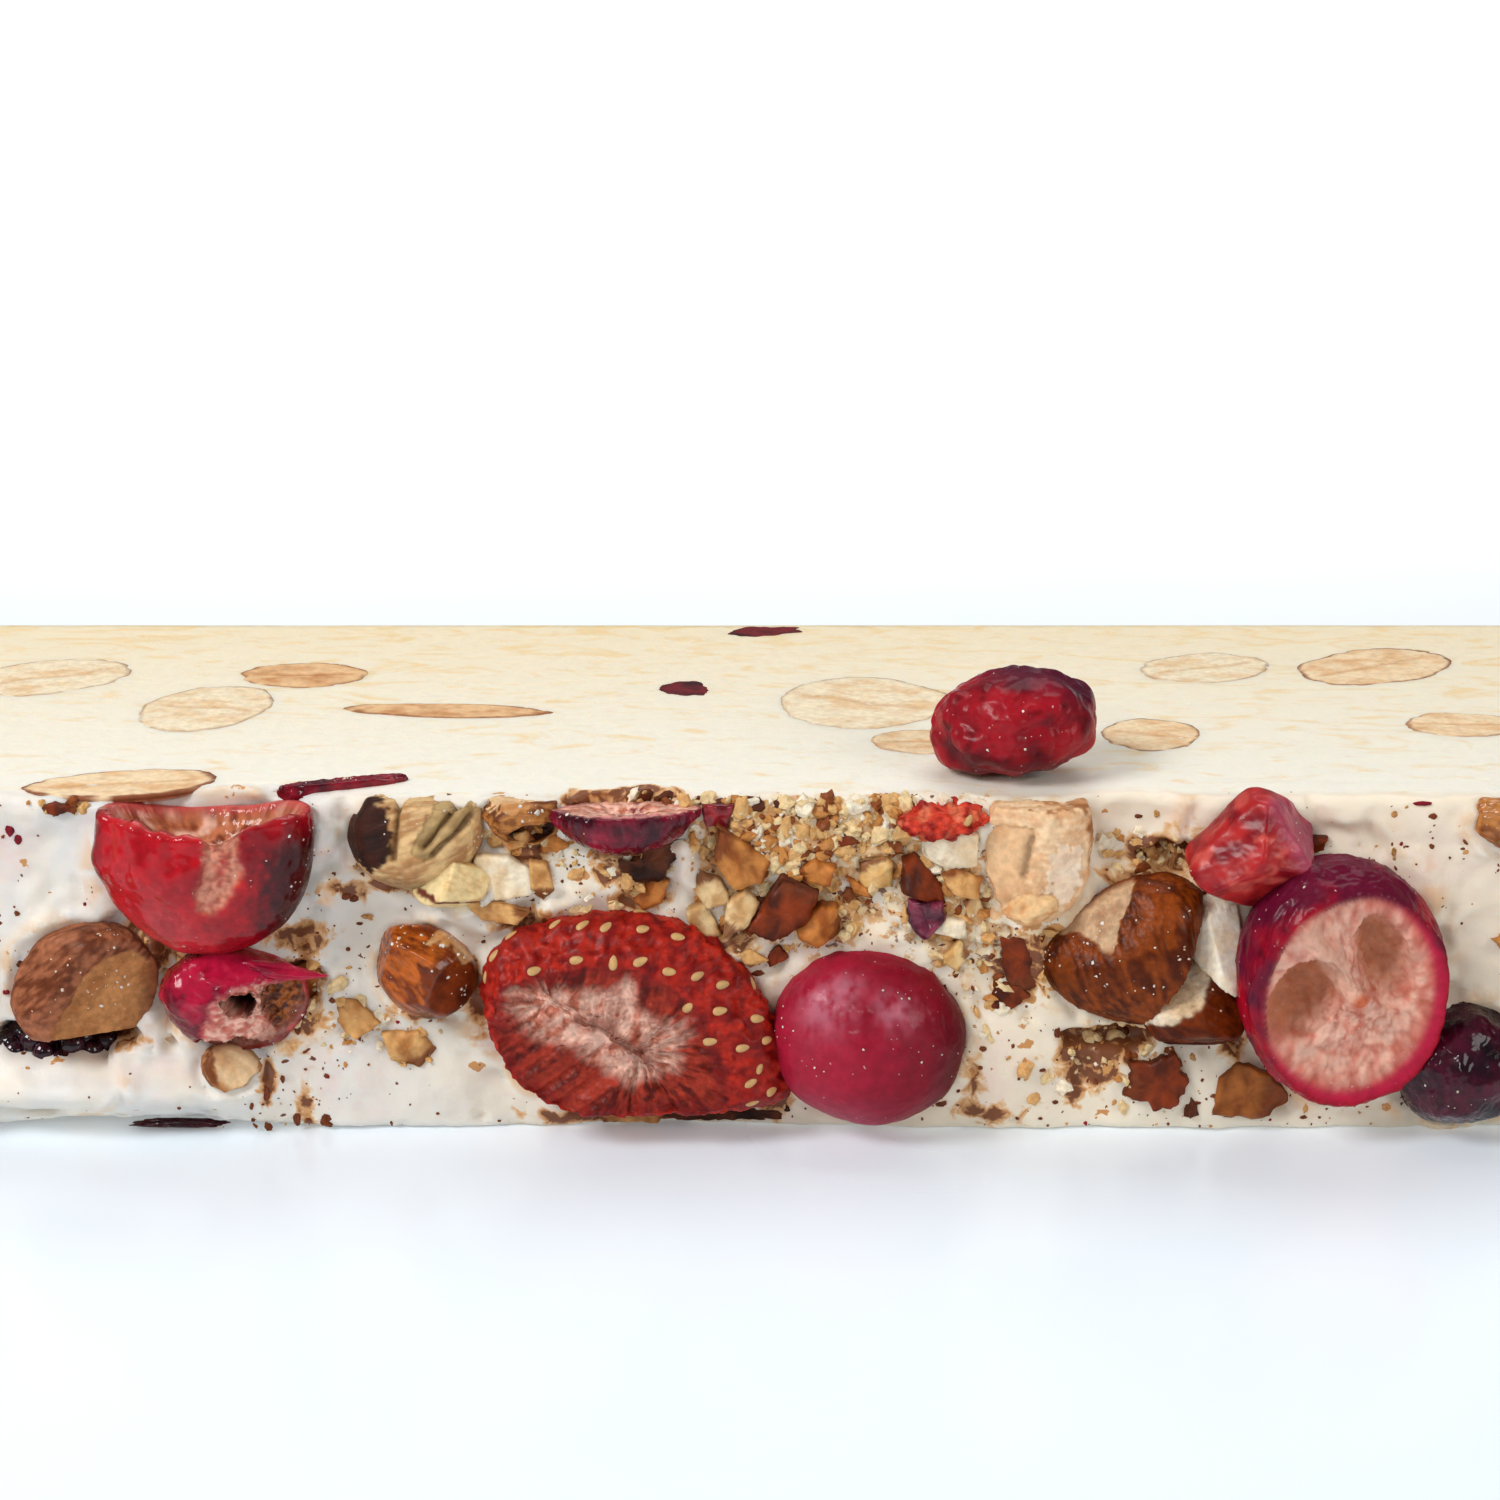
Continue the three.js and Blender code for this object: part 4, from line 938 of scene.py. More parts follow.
# Closed, folded or cut berries that differ only in size, colour and folds.
plainBerries = {
    "cranberry_dark": dict(
        middle=(49.3, -0.2, 5.2), size=(5.4, 4.8, 4.6), seed=21, dents=0.09, level=7, folds=0.3,
        foldScale=0.36, colours=tints(74, 14, 36, 24, 6, 18), skin="dark",
    ),
    "cranberry_on_top": dict(
        middle=(18.4, 5.9, 27.95), size=(5.7, 4.9, 3.9), turn=(0, -12, 0), seed=24, dents=0.09, level=7,
        cuts=[((0, 0, -1), 3.4)], folds=0.75, foldScale=0.19, colours=tints(158, 22, 34, 92, 10, 24),
        skin="dry", shade=(0.6, 0.3, 0.75),
    ),
    "cranberry_strip": dict(
        middle=(-30.6, -1.9, 24), size=(7.4, 1, 1.5), turn=(0, 0, 17), seed=27, dents=0.14, lift=0.6,
        cuts=[((0, 0, 1), 0.5)], sharp=60, folds=0.12, foldScale=0.8, colours=tints(140, 20, 40, 70, 6, 22),
        skin="wet",
    ),
    "cranberry_sliver": dict(
        middle=(-40, 0.6, 0.5), size=(3.6, 1.5, 0.4), seed=30, dents=0.25, dentScale=2.2, level=5,
        deep=0.45, folds=0.05, foldScale=0.8, colours=tints(60, 6, 18, 26, 2, 9), skin="dark",
    ),
    "cranberry_far_left": dict(
        middle=(-61.3, 0.6, 7.2), size=(6.4, 4.8, 5.5), turn=(0, 15, 0), seed=33, dents=0.03, folds=0.12,
        foldScale=0.4, colours=tints(184, 26, 44, 120, 10, 30), skin="wet",
    ),
}


def makePlainBerries():
    for node, look in plainBerries.items():
        form = formed(look)
        points, scale, seed = form.points, look["foldScale"], look["seed"] * 5
        light, dark = look["colours"]
        folds = ridged(points * scale * (1, 1, 0.7), seed)
        broad = noise(points * scale * 0.8, seed + 2)
        creases = 0.9 * folds - 0.8 * np.abs(broad)
        swell(form, look["folds"] * creases + 0.03 * layered(points * 2, seed + 4, 3))
        paint = skinPaint(form.points, seed + 6, light, dark)
        # painted shade: darker in the creases between the folds
        paint = blend(paint, dark * 0.7, smooth(folds, 0.35, -0.1) * 0.5)
        if "shade" in look:
            away = form.out @ (np.array(look["shade"]) / np.linalg.norm(look["shade"]))
            paint = blend(paint, (70, 14, 42), smooth(away, 0.35, 0.9) * 0.85)
        finishPiece(node + "_skin", node, form, paint, berrySkins[look["skin"]], 0.7 + 0.2 * folds)


cranberryFarRight = dict(
    middle=(68.3, 1.6, 14), size=(5.4, 4.8, 7.2), turn=(0, 14, 0), seed=36, dents=0.03, level=6,
    cuts=[((-0.1, -0.98, 0.1), 2.4)], sharp=30, rim=0.88,
    hollow=dict(at=(0, -2.4, 0), size=(2.2, 2.4, 4), turn=(0, 14, 0)),
)


def makeCranberryFarRight():
    look = cranberryFarRight
    form = formed(look)
    rim = rimOf(form.points, look)
    points, deep = carved(form.points, **look["hollow"])
    form.points = points = relaxed(points, form.faces, 2, smooth(deep, 0, 0.1))
    flesh = smooth(form.shares[0], 0.4, 0.62)
    swell(form, flesh * 0.3 * layered(points * 0.9, 101) + (1 - flesh) * 0.2 * ridged(points * 0.4, 103))
    inner = blend(fleshPaint(form.points, 105, rim, deep), skinLine, smooth(rim, 0.9, 1.02))
    paint = blend(skinPaint(form.points, 107, (160, 16, 44), (96, 16, 46)), inner, flesh)
    wet = 0.7 * (1 - flesh)
    finishPiece("cranberry_far_right_half", "cranberry_far_right", form, paint, berrySkins["dry"], wet)


makeCranberryOpen()
makeCranberryWhole()
makeCranberryCup()
makeCranberryTorn()
makeCranberryBoat()
makePlainBerries()
makeCranberryFarRight()
print("cranberries")


# Almonds and other nuts

almondFinish = dict(
    soft=0.05, softColour=(1, 0.5, 0.2), softDepth=0.8, coat=0.15, coatRoughness=0.3, wet=0.36, dry=0.66,
    specular=0.05, mottle=0.2, mottleScale=2.2, fineScale=4.5, stretch=(0.5, 1.5, 1.5), relief=0.08,
    strength=0.55, dust=0.05, dustScale=2.2, dustColour=(0.75, 0.55, 0.38),
)
nutFinish = dict(
    soft=0.2, softColour=(1, 0.6, 0.3), softDepth=1, coat=0.05, wet=0.4, dry=0.66, specular=0.2,
    mottle=0.12, mottleScale=1.8, fineScale=5, relief=0.06, strength=0.6,
)
honeyFinish = dict(
    soft=0.15, softColour=(1, 0.4, 0.1), softDepth=1.2, coat=0.6, coatRoughness=0.14, wet=0.25, dry=0.5,
    specular=0.12, mottle=0.22, mottleScale=1.6, fineScale=4, relief=0.05, strength=0.45, dust=0.04,
    dustScale=2.4, dustColour=(0.85, 0.7, 0.5),
)
nutSkins = {
    "almond": foodFinish("almond_skin", almondFinish), "nut": foodFinish("nut_flesh", nutFinish),
    "honey": foodFinish("nut_honey", honeyFinish),
}

# Each nut: skin colours, then patches laid over it in order. A patch is an outline in x and z, or the
# number of a flat break, with its two colours, how ragged its edge is and how far it stands out.
nuts = {
    "almond_big": dict(
        middle=(26.8, 0.5, 13.6), size=(6.9, 4.6, 6), turn=(0, -12, 0), taper=0.4, seed=41, dents=0.02,
        cuts=[((-0.5, -0.72, 0.48), 3.75), ((0.85, -0.5, 0.1), 5)], level=7, finish="almond",
        colours=tints(138, 62, 16, 80, 28, 4), fibreTurn=(0, 70, 0), ridges=0.1, outline=[(19, 14),
            (20, 17.5), (23, 19.6), (26, 21.5), (29.5, 21.5), (31.6, 19.8), (31.4, 16.2), (30.2, 13),
            (28.2, 9.9), (27.4, 8.2), (26, 7), (21, 8), (18.5, 11)],
        patches=[
            ([(19.5, 14.9), (20.6, 16.8), (22.6, 18.8), (25, 21), (27, 21), (26.3, 18.4), (25.4, 16.7),
             (24.9, 14.6), (24, 14.5), (23.4, 15.2), (22.4, 15.4), (21, 14.9)],
             tints(208, 172, 134, 174, 128, 92), 0.1, -0.18),
        ],
        shades=[(20.4, 11.6, 1.6, 2.4, 0.75)],
    ),
    "almond_small": dict(
        middle=(30.6, 1.3, 9.9), size=(3.9, 2.9, 3.5), turn=(0, 20, 0), seed=44, dents=0.03,
        cuts=[((-0.3, -0.6, 0.74), 2.3), ((0.5, -0.84, 0.2), 2.5), ((0, -0.5, -0.87), 2.4)], sharp=60,
        partHidden=True, finish="almond", colours=tints(116, 44, 6, 76, 24, 3), outline=[(26.5, 9.3),
            (29.6, 13), (30.6, 13.3), (31.4, 12.9), (33.8, 10.2), (34, 8), (31.8, 7.2), (27, 7.4)],
        patches=[
            ([(26.5, 8.8), (28.6, 11.4), (30.5, 13.8), (31.5, 12.6), (30.7, 10.9), (28.6, 9.5)],
             tints(240, 224, 200, 222, 190, 150), 0.12, 0.1),
        ],
    ),
    "almond_left": dict(
        middle=(-46, 0.3, 11.2), size=(5.5, 4.2, 4.4), turn=(0, -25, 0), seed=47, dents=0.03, level=7,
        cuts=[((0.5, -0.84, -0.12), 2.2), ((0.05, -0.15, -1), 3.1), ((-0.5, -0.7, 0.5), 3.7)], sharp=44,
        finish="almond", colours=tints(166, 102, 70, 106, 54, 32), fibres=0.08, ridges=0.1,
        patches=[
            ([(-43.9, 14.1), (-42.2, 14.2), (-40.4, 12.2), (-39.8, 10), (-40.2, 7.4), (-44, 6.2),
             (-48.6, 6.6), (-47.9, 9.4), (-46.5, 11.3), (-45.6, 12.8)], tints(194, 134, 82, 158, 98, 54),
             0.07, -0.12),
        ],
    ),
    "almond_honey": dict(
        middle=(-22.4, 0.4, 12.3), size=(3.9, 3.4, 3.5), turn=(0, 40, 0), taper=0.3, seed=50, dents=0.04,
        cuts=[((-0.35, -0.9, 0.2), 2.3), ((-0.9, -0.3, 0.3), 2.8), ((0.7, -0.7, -0.2), 2.7),
            ((0.1, -0.5, 0.9), 2.6)],
        sharp=70, level=7, finish="honey", colours=tints(184, 92, 26, 112, 44, 8), fibres=0.05,
        patches=[
            ([(-22, 14.6), (-20.4, 15.9), (-19.2, 14.9), (-18.2, 12.4), (-19.2, 12.6), (-20.3, 14.4)],
             tints(226, 190, 140, 180, 120, 64), 0.12, 0),
            ([(-22.6, 13.6), (-20.9, 13.2), (-18.5, 13), (-18.5, 8), (-23, 8), (-22, 11)],
             tints(126, 52, 12, 76, 26, 4), 0.12, 0),
        ],
    ),
    "nut_under_cranberry": dict(
        middle=(-36.1, 0.6, 5.9), size=(2.9, 2.4, 2.3), turn=(0, 60, 0), seed=53, dents=0.03,
        cuts=[((0.2, -0.95, 0.2), 1.4)], sharp=24, colours=tints(190, 132, 84, 122, 66, 28),
        outline=[(-38.8, 6.4), (-38.3, 9), (-34.2, 9), (-33.8, 6.1), (-35, 4.7), (-36.4, 4.2),
            (-37.9, 4.9)],
        patches=[
            ([(-37.6, 9), (-34.2, 9), (-33.8, 6.1), (-35, 4.7), (-36.2, 4.4), (-37, 5.6)],
             tints(232, 198, 154, 204, 156, 110), 0.1, -0.05),
        ],
    ),
    "nut_layered": dict(
        middle=(-22.9, -0.7, 21.9), size=(4.8, 3.5, 4.2), turn=(0, -20, 0), seed=56, dents=0.05, level=7,
        cuts=[((0, 0, 1), 2.58), ((-0.2, -0.9, 0.3), 2.9)], sharp=50,
        colours=tints(222, 184, 130, 178, 128, 80),
        patches=[
            ([(-28.5, 24.8), (-26, 24.9), (-24.9, 24.2), (-24.4, 22.7), (-24.8, 20.8), (-26, 19.6),
             (-28.5, 21)], tints(66, 26, 12, 26, 8, 3), 0.2, 0.1),
            ([(-23.2, 21.4), (-22.3, 23.4), (-21.2, 25), (-18.4, 25), (-18.8, 23.8), (-20.2, 22.3),
             (-21.8, 20.8)], tints(196, 164, 112, 134, 102, 62), 0.12, -0.15),
        ],
        grooves=[((-22.3, 21.9), (-19.8, 24.6), 0.28, 0.7), ((-24.4, 21), (-24, 24.4), 0.22, 0.5),
            ((-21.6, 21.2), (-18.9, 23.6), 0.2, 0.4)],
        shades=[(-22.4, 18.3, 2.5, 0.9, 0.8)],
    ),
    "nut_yellow": dict(
        middle=(-20.6, 0.9, 19.2), size=(2.9, 2.4, 2.4), turn=(0, 25, 0), seed=59, dents=0.05, square=4,
        cuts=[((-0.5, -0.8, 0.45), 1.8), ((0.5, -0.8, 0.2), 1.7), ((0.2, -0.6, -0.8), 1.9)], sharp=60,
        colours=tints(240, 214, 158, 222, 184, 124), fibres=0.05,
        patches=[
            ([(-23.6, 18.6), (-18, 16.9), (-18, 17.5), (-20.6, 18), (-23.4, 19.3)],
             tints(110, 46, 26, 70, 22, 12), 0.15, 0),
        ],
    ),
    "nut_honey": dict(
        middle=(-15.5, -0.8, 23.1), size=(2.9, 3, 2.3), seed=62, dents=0.14, cuts=[((0, 0, 1), 1.38)],
        sharp=50, colours=tints(186, 122, 62, 104, 50, 18), fibres=0.2, crumble=0.1,
        hollows=[dict(at=(0.8, -2.6, -0.9), size=(2, 1.7, 0.9), turn=(0, -14, 0))],
        hollowShade=(54, 20, 5), level=7,
        patches=[
            ([(-18.5, 24), (-16.2, 24), (-13.6, 25), (-13.6, 26), (-18.5, 26)],
             tints(232, 196, 150, 190, 130, 74), 0.3, 0.05),
        ],
    ),
    "nut_pale": dict(
        middle=(19.6, -1.5, 20.9), size=(4, 4.2, 5.4), seed=65, dents=0.07, level=7, square=3,
        cuts=[((0, 0, 1), 3.58), ((-0.4, -0.9, 0), 3.5), ((0.3, -0.95, -0.1), 3.7)], sharp=30,
        colours=tints(247, 212, 170, 228, 180, 134), fibres=0.04, crumble=0.12, outline=[(15, 27),
            (15.2, 23), (15.6, 19.6), (16.4, 17.2), (17.6, 15.4), (20.4, 15.2), (22.2, 16.6), (23.3, 18.6),
            (23.6, 21.5), (23.2, 27)],
        patches=[
            ([(14.6, 23), (19.1, 23.2), (18.7, 19.8), (17.5, 17.5), (16.7, 16.4), (14.6, 19)],
             tints(238, 196, 150, 214, 160, 112), 0.12, -0.25),
            ([(16.6, 25.3), (24.5, 25.3), (24.5, 17.5), (23.2, 17.5), (23.4, 21), (23, 24.2), (19, 24.7)],
             tints(204, 148, 98, 150, 92, 50), 0.25, 0),
            ([(20.2, 21.6), (22.4, 21.9), (22.8, 18.6), (21.2, 17.3), (20.2, 18.4)],
             tints(250, 228, 202, 240, 206, 172), 0.3, 0.05),
        ],
        grooves=[((18.9, 22.4), (18.4, 19.6), 0.3, 0.22)], shades=[(18.6, 17.6, 1.6, 0.5, 0.4)],
        lump=dict(at=(-0.4, -3.2, -3.7), size=(1.9, 1, 1.1), turn=(0, -15, 0),
            colours=tints(240, 198, 146, 214, 156, 102)),
    ),
    "nut_cream": dict(
        middle=(31.8, 0.8, 13.3), size=(1.9, 2.6, 3.9), seed=68, dents=0.06, square=4,
        cuts=[((-0.6, -0.75, 0.2), 1.8), ((0.4, -0.8, 0.5), 2.1)], sharp=40,
        colours=tints(253, 242, 222, 246, 224, 192), fibres=0.03, outline=[(30.2, 15.2), (31.2, 16.6),
            (34.6, 16.4), (34.8, 11.4), (33, 11.4), (31.6, 12.4), (30.6, 13.2), (30.1, 14.2)],
    ),
    "nut_right_edge": dict(
        middle=(52.8, -1.2, 23), size=(3.9, 3.4, 3.2), seed=71, dents=0.1, cuts=[((0, 0, 1), 1.48)],
        sharp=50, finish="honey", colours=tints(196, 128, 66, 140, 76, 30), fibres=0.2,
    ),
    "almond_far_left": dict(
        middle=(-67.3, 0.5, 17), size=(5.8, 3.8, 4.6), turn=(0, 35, 0), taper=0.35, seed=74, dents=0.02,
        cuts=[((-0.3, -0.8, 0.5), 3)], finish="almond", colours=tints(140, 68, 24, 78, 30, 8), fibres=0.12,
        patches=[
            (0, tints(232, 200, 158, 204, 156, 108), 0.2, -0.1),
        ],
    ),
    "almond_far_right": dict(
        middle=(60.2, 0.4, 15.2), size=(5.6, 3.8, 4.4), turn=(0, -30, 0), taper=0.35, seed=77, dents=0.03,
        finish="almond", colours=tints(146, 72, 26, 82, 32, 8), fibres=0.14,
    ),
    "nut_far_left": dict(
        middle=(-58, 0.2, 19.3), size=(3.8, 3, 3.4), turn=(0, 20, 0), seed=80, dents=0.08, square=4,
        cuts=[((0.4, -0.8, 0.4), 2.3)], sharp=40, colours=tints(240, 208, 160, 214, 164, 108), fibres=0.2,
    ),
}


def makeNut(node, look):
    form = formed(look)
    seed = look["seed"] * 3
    light, dark = look["colours"]
    hollowed = np.zeros(len(form.points))
    for hollow in look.get("hollows", ()):
        points, depth = carved(form.points, **hollow)
        hollowed = np.maximum(hollowed, depth)
        form.points = relaxed(points, form.faces, 2, smooth(depth, 0, 0.05))
    if "outline" in look:
        sunk(form)
    points = form.points
    gx, gz = onBar(form)
    grain = points @ turnMatrix(look.get("fibreTurn", look.get("turn", (0, 0, 0))))
    fibres = layered(grain * (0.35, 2.4, 2.4), seed)
    broad = layered(points * 0.45, seed + 5, 3)
    front = smooth(points[:, 1], 0.8, -0.4)
    paint = blend(light, dark, smooth(0.8 * broad + 0.8 * fibres, -0.3, 0.4))
    relief = look.get("fibres", 0.1) * fibres
    if "ridges" in look:
        relief = relief + look["ridges"] * ridged(grain * (0.12, 0.9, 0.9), seed + 3, 2)
    if "crumble" in look:
        coarse = 3 * layered(points * 0.5, seed + 8) - 0.6 * nearest(points * 0.9, seed + 7)
        relief = relief + look["crumble"] * coarse
        paint = blend(paint, dark * (0.9, 0.78, 0.66), clouds(points * 0.7, seed + 8, -0.1, -0.4, 4) * 0.6)
    skin = np.ones(len(points))
    for where, (pale, deep), ragged, out in look.get("patches", ()):
        wander = ragged * layered(points * 1.5, seed + 9, 3)
        if isinstance(where, int):
            share = smooth(form.shares[where] + wander, 0.42, 0.6)
        else:
            share = smooth(within(gx, gz, where) + 3 * wander, -0.08, 0.12) * front
        mottled = blend(pale, deep, clouds(grain * (0.25, 0.6, 0.6), seed + 11, -0.4, 0.5, 4))
        mottled = blend(mottled, deep * 0.7, 0.6 * hat(share - 0.4, 0.3))  # darker along its edge
        paint = blend(paint, mottled, share)
        relief = relief * (1 - 0.6 * share) + out * share
        skin = skin * (1 - share)
    wet = (0.55 + 0.25 * smooth(broad, -0.3, 0.3)) * skin
    # grooves: cut into the relief, with painted shade along them
    for start, end, wide, deep in look.get("grooves", ()):
        groove = hat(alongLine(gx, gz, start, end) + 0.2 * broad, wide) * front
        relief = relief - deep * groove
        paint = blend(paint, dark * 0.35, 0.75 * groove)
    # painted shade: the spots listed under shades darken the nut
    paint = blend(paint, paint * 0.35, spread(look.get("shades", ()), gx, gz) * front)
    # painted shade: the carved hollow is dark brown
    paint = blend(paint, look.get("hollowShade", (0, 0, 0)), smooth(hollowed, 0.1, 0.5))
    swell(form, relief)
    if "lump" in look:
        lump = look["lump"]
        bit, faces = ball(5)
        bit *= (1 + 0.25 * layered(bit * 1.6, seed + 13, 3))[:, None]
        bit = (bit * lump["size"]) @ turnMatrix(lump["turn"]).T + lump["at"]
        both = Joined(form.points, form.faces, paint)
        both.add(bit, faces, blend(*lump["colours"], clouds(bit, seed + 15, -0.3, 0.4)))
        form.points, form.faces, paint = both.all()
        wet = np.append(wet, np.zeros(len(bit)))
    finishPiece(node + "_piece", node, form, paint, nutSkins[look.get("finish", "nut")], wet)


for node, look in nuts.items():
    makeNut(node, look)
print("nuts")


# Candied fruit, glossy and broken into facets

candyFinish = dict(
    soft=0.2, softColour=(1, 0.2, 0.15), softDepth=1.4, coat=0.25, coatRoughness=0.22, wet=0.34, dry=0.5,
    mottle=0.15, mottleScale=0.9, fineScale=2.5, relief=0.05, strength=0.4, specular=0.12,
)
candied = {
    "fruit_chunk": dict(
        middle=(33.7, 1.4, 21.6), size=(3.3, 3.1, 4.3), turn=(8, 33, 6), seed=91, dents=0.04, square=6,
        cuts=[((-0.55, -0.75, 0.35), 2.7), ((0.45, -0.85, 0.3), 2.8), ((0.2, -0.8, -0.55), 2.9),
            ((0.85, -0.3, 0.45), 3)],
        sharp=60, tall=0.88,
    ),
    "fruit_far_left": dict(
        middle=(-70.9, 0.8, 6.2), size=(2.8, 2.6, 3.3), turn=(0, 30, 0), seed=94, dents=0.05, square=6,
        cuts=[((0.5, -0.8, 0.3), 2.3)], sharp=60, level=5,
    ),
}


def makeCandied():
    candySkin = foodFinish("candied_fruit", candyFinish)
    for node, look in candied.items():
        form = formed(look)
        seed = look["seed"]
        waves = layered(form.points * 0.5, seed, 3)
        swell(form, 0.12 * waves + 0.05 * ridged(form.points * 0.8, seed + 2, 2))
        points = form.points
        paint = blend((180, 38, 38), (132, 14, 26), clouds(points * 0.45, seed + 4, -0.3, 0.35))
        # painted highlights: paler patches; painted sheen: a pinkish-purple cast on the side facing right,
        # front and up
        paint = blend(paint, (216, 96, 84), clouds(points * 0.6, seed + 6, 0.15, 0.4) * 0.6)
        paint = blend(paint, (176, 84, 112), smooth(points @ (0.85, -0.35, 0.4), 2.1, 3.1) * 0.7)
        finishPiece(node + "_candied", node, form, paint, candySkin, 0.8)


makeCandied()
print("candied fruit")


# Strawberry slices

strawberryFinish = dict(
    soft=0.12, softColour=(1, 0.2, 0.1), softDepth=0.9, coat=0.12, coatRoughness=0.3, wet=0.36, dry=0.66,
    specular=0.12, mottle=0.2, mottleScale=2.4, fineScale=5, relief=0.07, strength=0.6,
)
strawberrySkin = foodFinish("strawberry", strawberryFinish)
seedSkin = foodFinish("strawberry_seeds", dict(nutFinish, wet=0.3, dry=0.45))
sliceOutline = [
    (-10.6, 1.8), (-9.6, 4.6), (-6.6, 6.5), (-1.4, 7.4), (3.9, 6.4), (7.2, 3.6), (9.6, -0.5), (10.6, -4.7),
    (10.2, -7.1), (3.8, -7.6), (-3, -7.6), (-7.3, -5.5), (-9.7, -2),
]
# share of the outline, how far back of the cut face (0) towards the hidden side (1)
sliceProfile = [
    (0.76, 0), (0.81, 0.05), (0.87, 0.15), (0.93, 0.28), (0.98, 0.42), (1, 0.58), (0.97, 0.8), (0.88, 1),
]
# a seed is x, z and its tilt
strawberries = {
    "strawberry_slice": dict(
        middle=(-8.1, 4.4, 9.8), thick=5.4, scale=1, tall=0.94, turn=0, seed=101, around=384, faceRings=66,
        rimRings=34, faceShift=(-1.6, -1.2), seeds=[(-17.4, 13.9, 70), (-15.4, 15.2, 40), (-13.2, 16, 70),
            (-11.3, 16.2, 65), (-9.7, 16, 55), (-7.3, 17, 10), (-7.3, 15.9, 20), (-11.6, 14.2, 10),
            (-9.3, 14.2, 85), (-7.3, 14.2, 25), (-4.9, 15.3, -5), (-5.4, 13.4, -5), (-3.6, 12.8, 15),
            (-1.8, 12.2, 5), (0.1, 11.7, 60), (-4.2, 10.8, 50), (-2, 10.4, 10), (0.5, 9.5, -5),
            (-2.7, 8.4, 5), (-0.4, 7.7, 5), (1.2, 7.9, 0), (0.6, 5.9, 50), (0, 5.1, 20), (1.4, 4.1, 15),
            (0.2, 3.6, 5), (-18.1, 12.2, 80), (-16.6, 15.6, 40), (-14.6, 13.4, 20)],
    ),
    "strawberry_far_right": dict(
        middle=(62, 3.4, 5), thick=3.8, scale=0.5, tall=1, turn=8, seed=104, around=192, faceRings=30,
        rimRings=18, faceShift=(-0.6, -0.5), seeds=[(58.5, 6.6, 30), (60.6, 7.8, 10), (63, 8.1, 0),
            (65.1, 6.8, 20), (66.2, 4.8, 10), (66.6, 3, 40)],
    ),
}
coreLine = [(-5.6, 1.7), (0.4, -2)]
coreOutline = [
    (-9.3, 2.9), (-7.6, 2), (-4.6, 3), (-2.1, 2.3), (0, 2.9), (0.2, 1.4), (1.9, 0.5), (4, -0.4),
    (2.7, -1.9), (3, -3.4), (0.9, -4.2), (-0.5, -4.6), (-1.7, -3.2), (-3.4, -2.1), (-5.5, -1.2),
    (-7.2, -0.6), (-8.2, 1.2),
]
coreCrack = [(-3.9, 0.5), (-2.1, 0.2), (-1.2, -1), (0.1, -1.5), (0.9, -2.8)]
seeds = Joined()


def evenly(corners, count):  # points at even steps along a closed line
    corners = np.array(corners, float)
    closed = np.vstack([corners, corners[:1]])
    run = np.append(0, np.cumsum(np.linalg.norm(np.diff(closed, axis=0), axis=1)))
    want = np.linspace(0, run[-1], count, endpoint=False)
    return np.column_stack([np.interp(want, run, closed[:, i]) for i in range(2)])


def loopPoints(corners, count):  # a smooth closed curve through the corners, evenly divided
    corners = np.array(corners, float)
    fine = []
    for i in range(len(corners)):
        a, b, c, d = (corners[(i + k - 1) % len(corners)] for k in range(4))
        for t in np.linspace(0, 1, 24, endpoint=False):
            bent = 2 * b + (c - a) * t + (2 * a - 5 * b + 4 * c - d) * t**2
            fine.append(0.5 * (bent + (3 * b - a - 3 * c + d) * t**3))
    return evenly(fine, count)


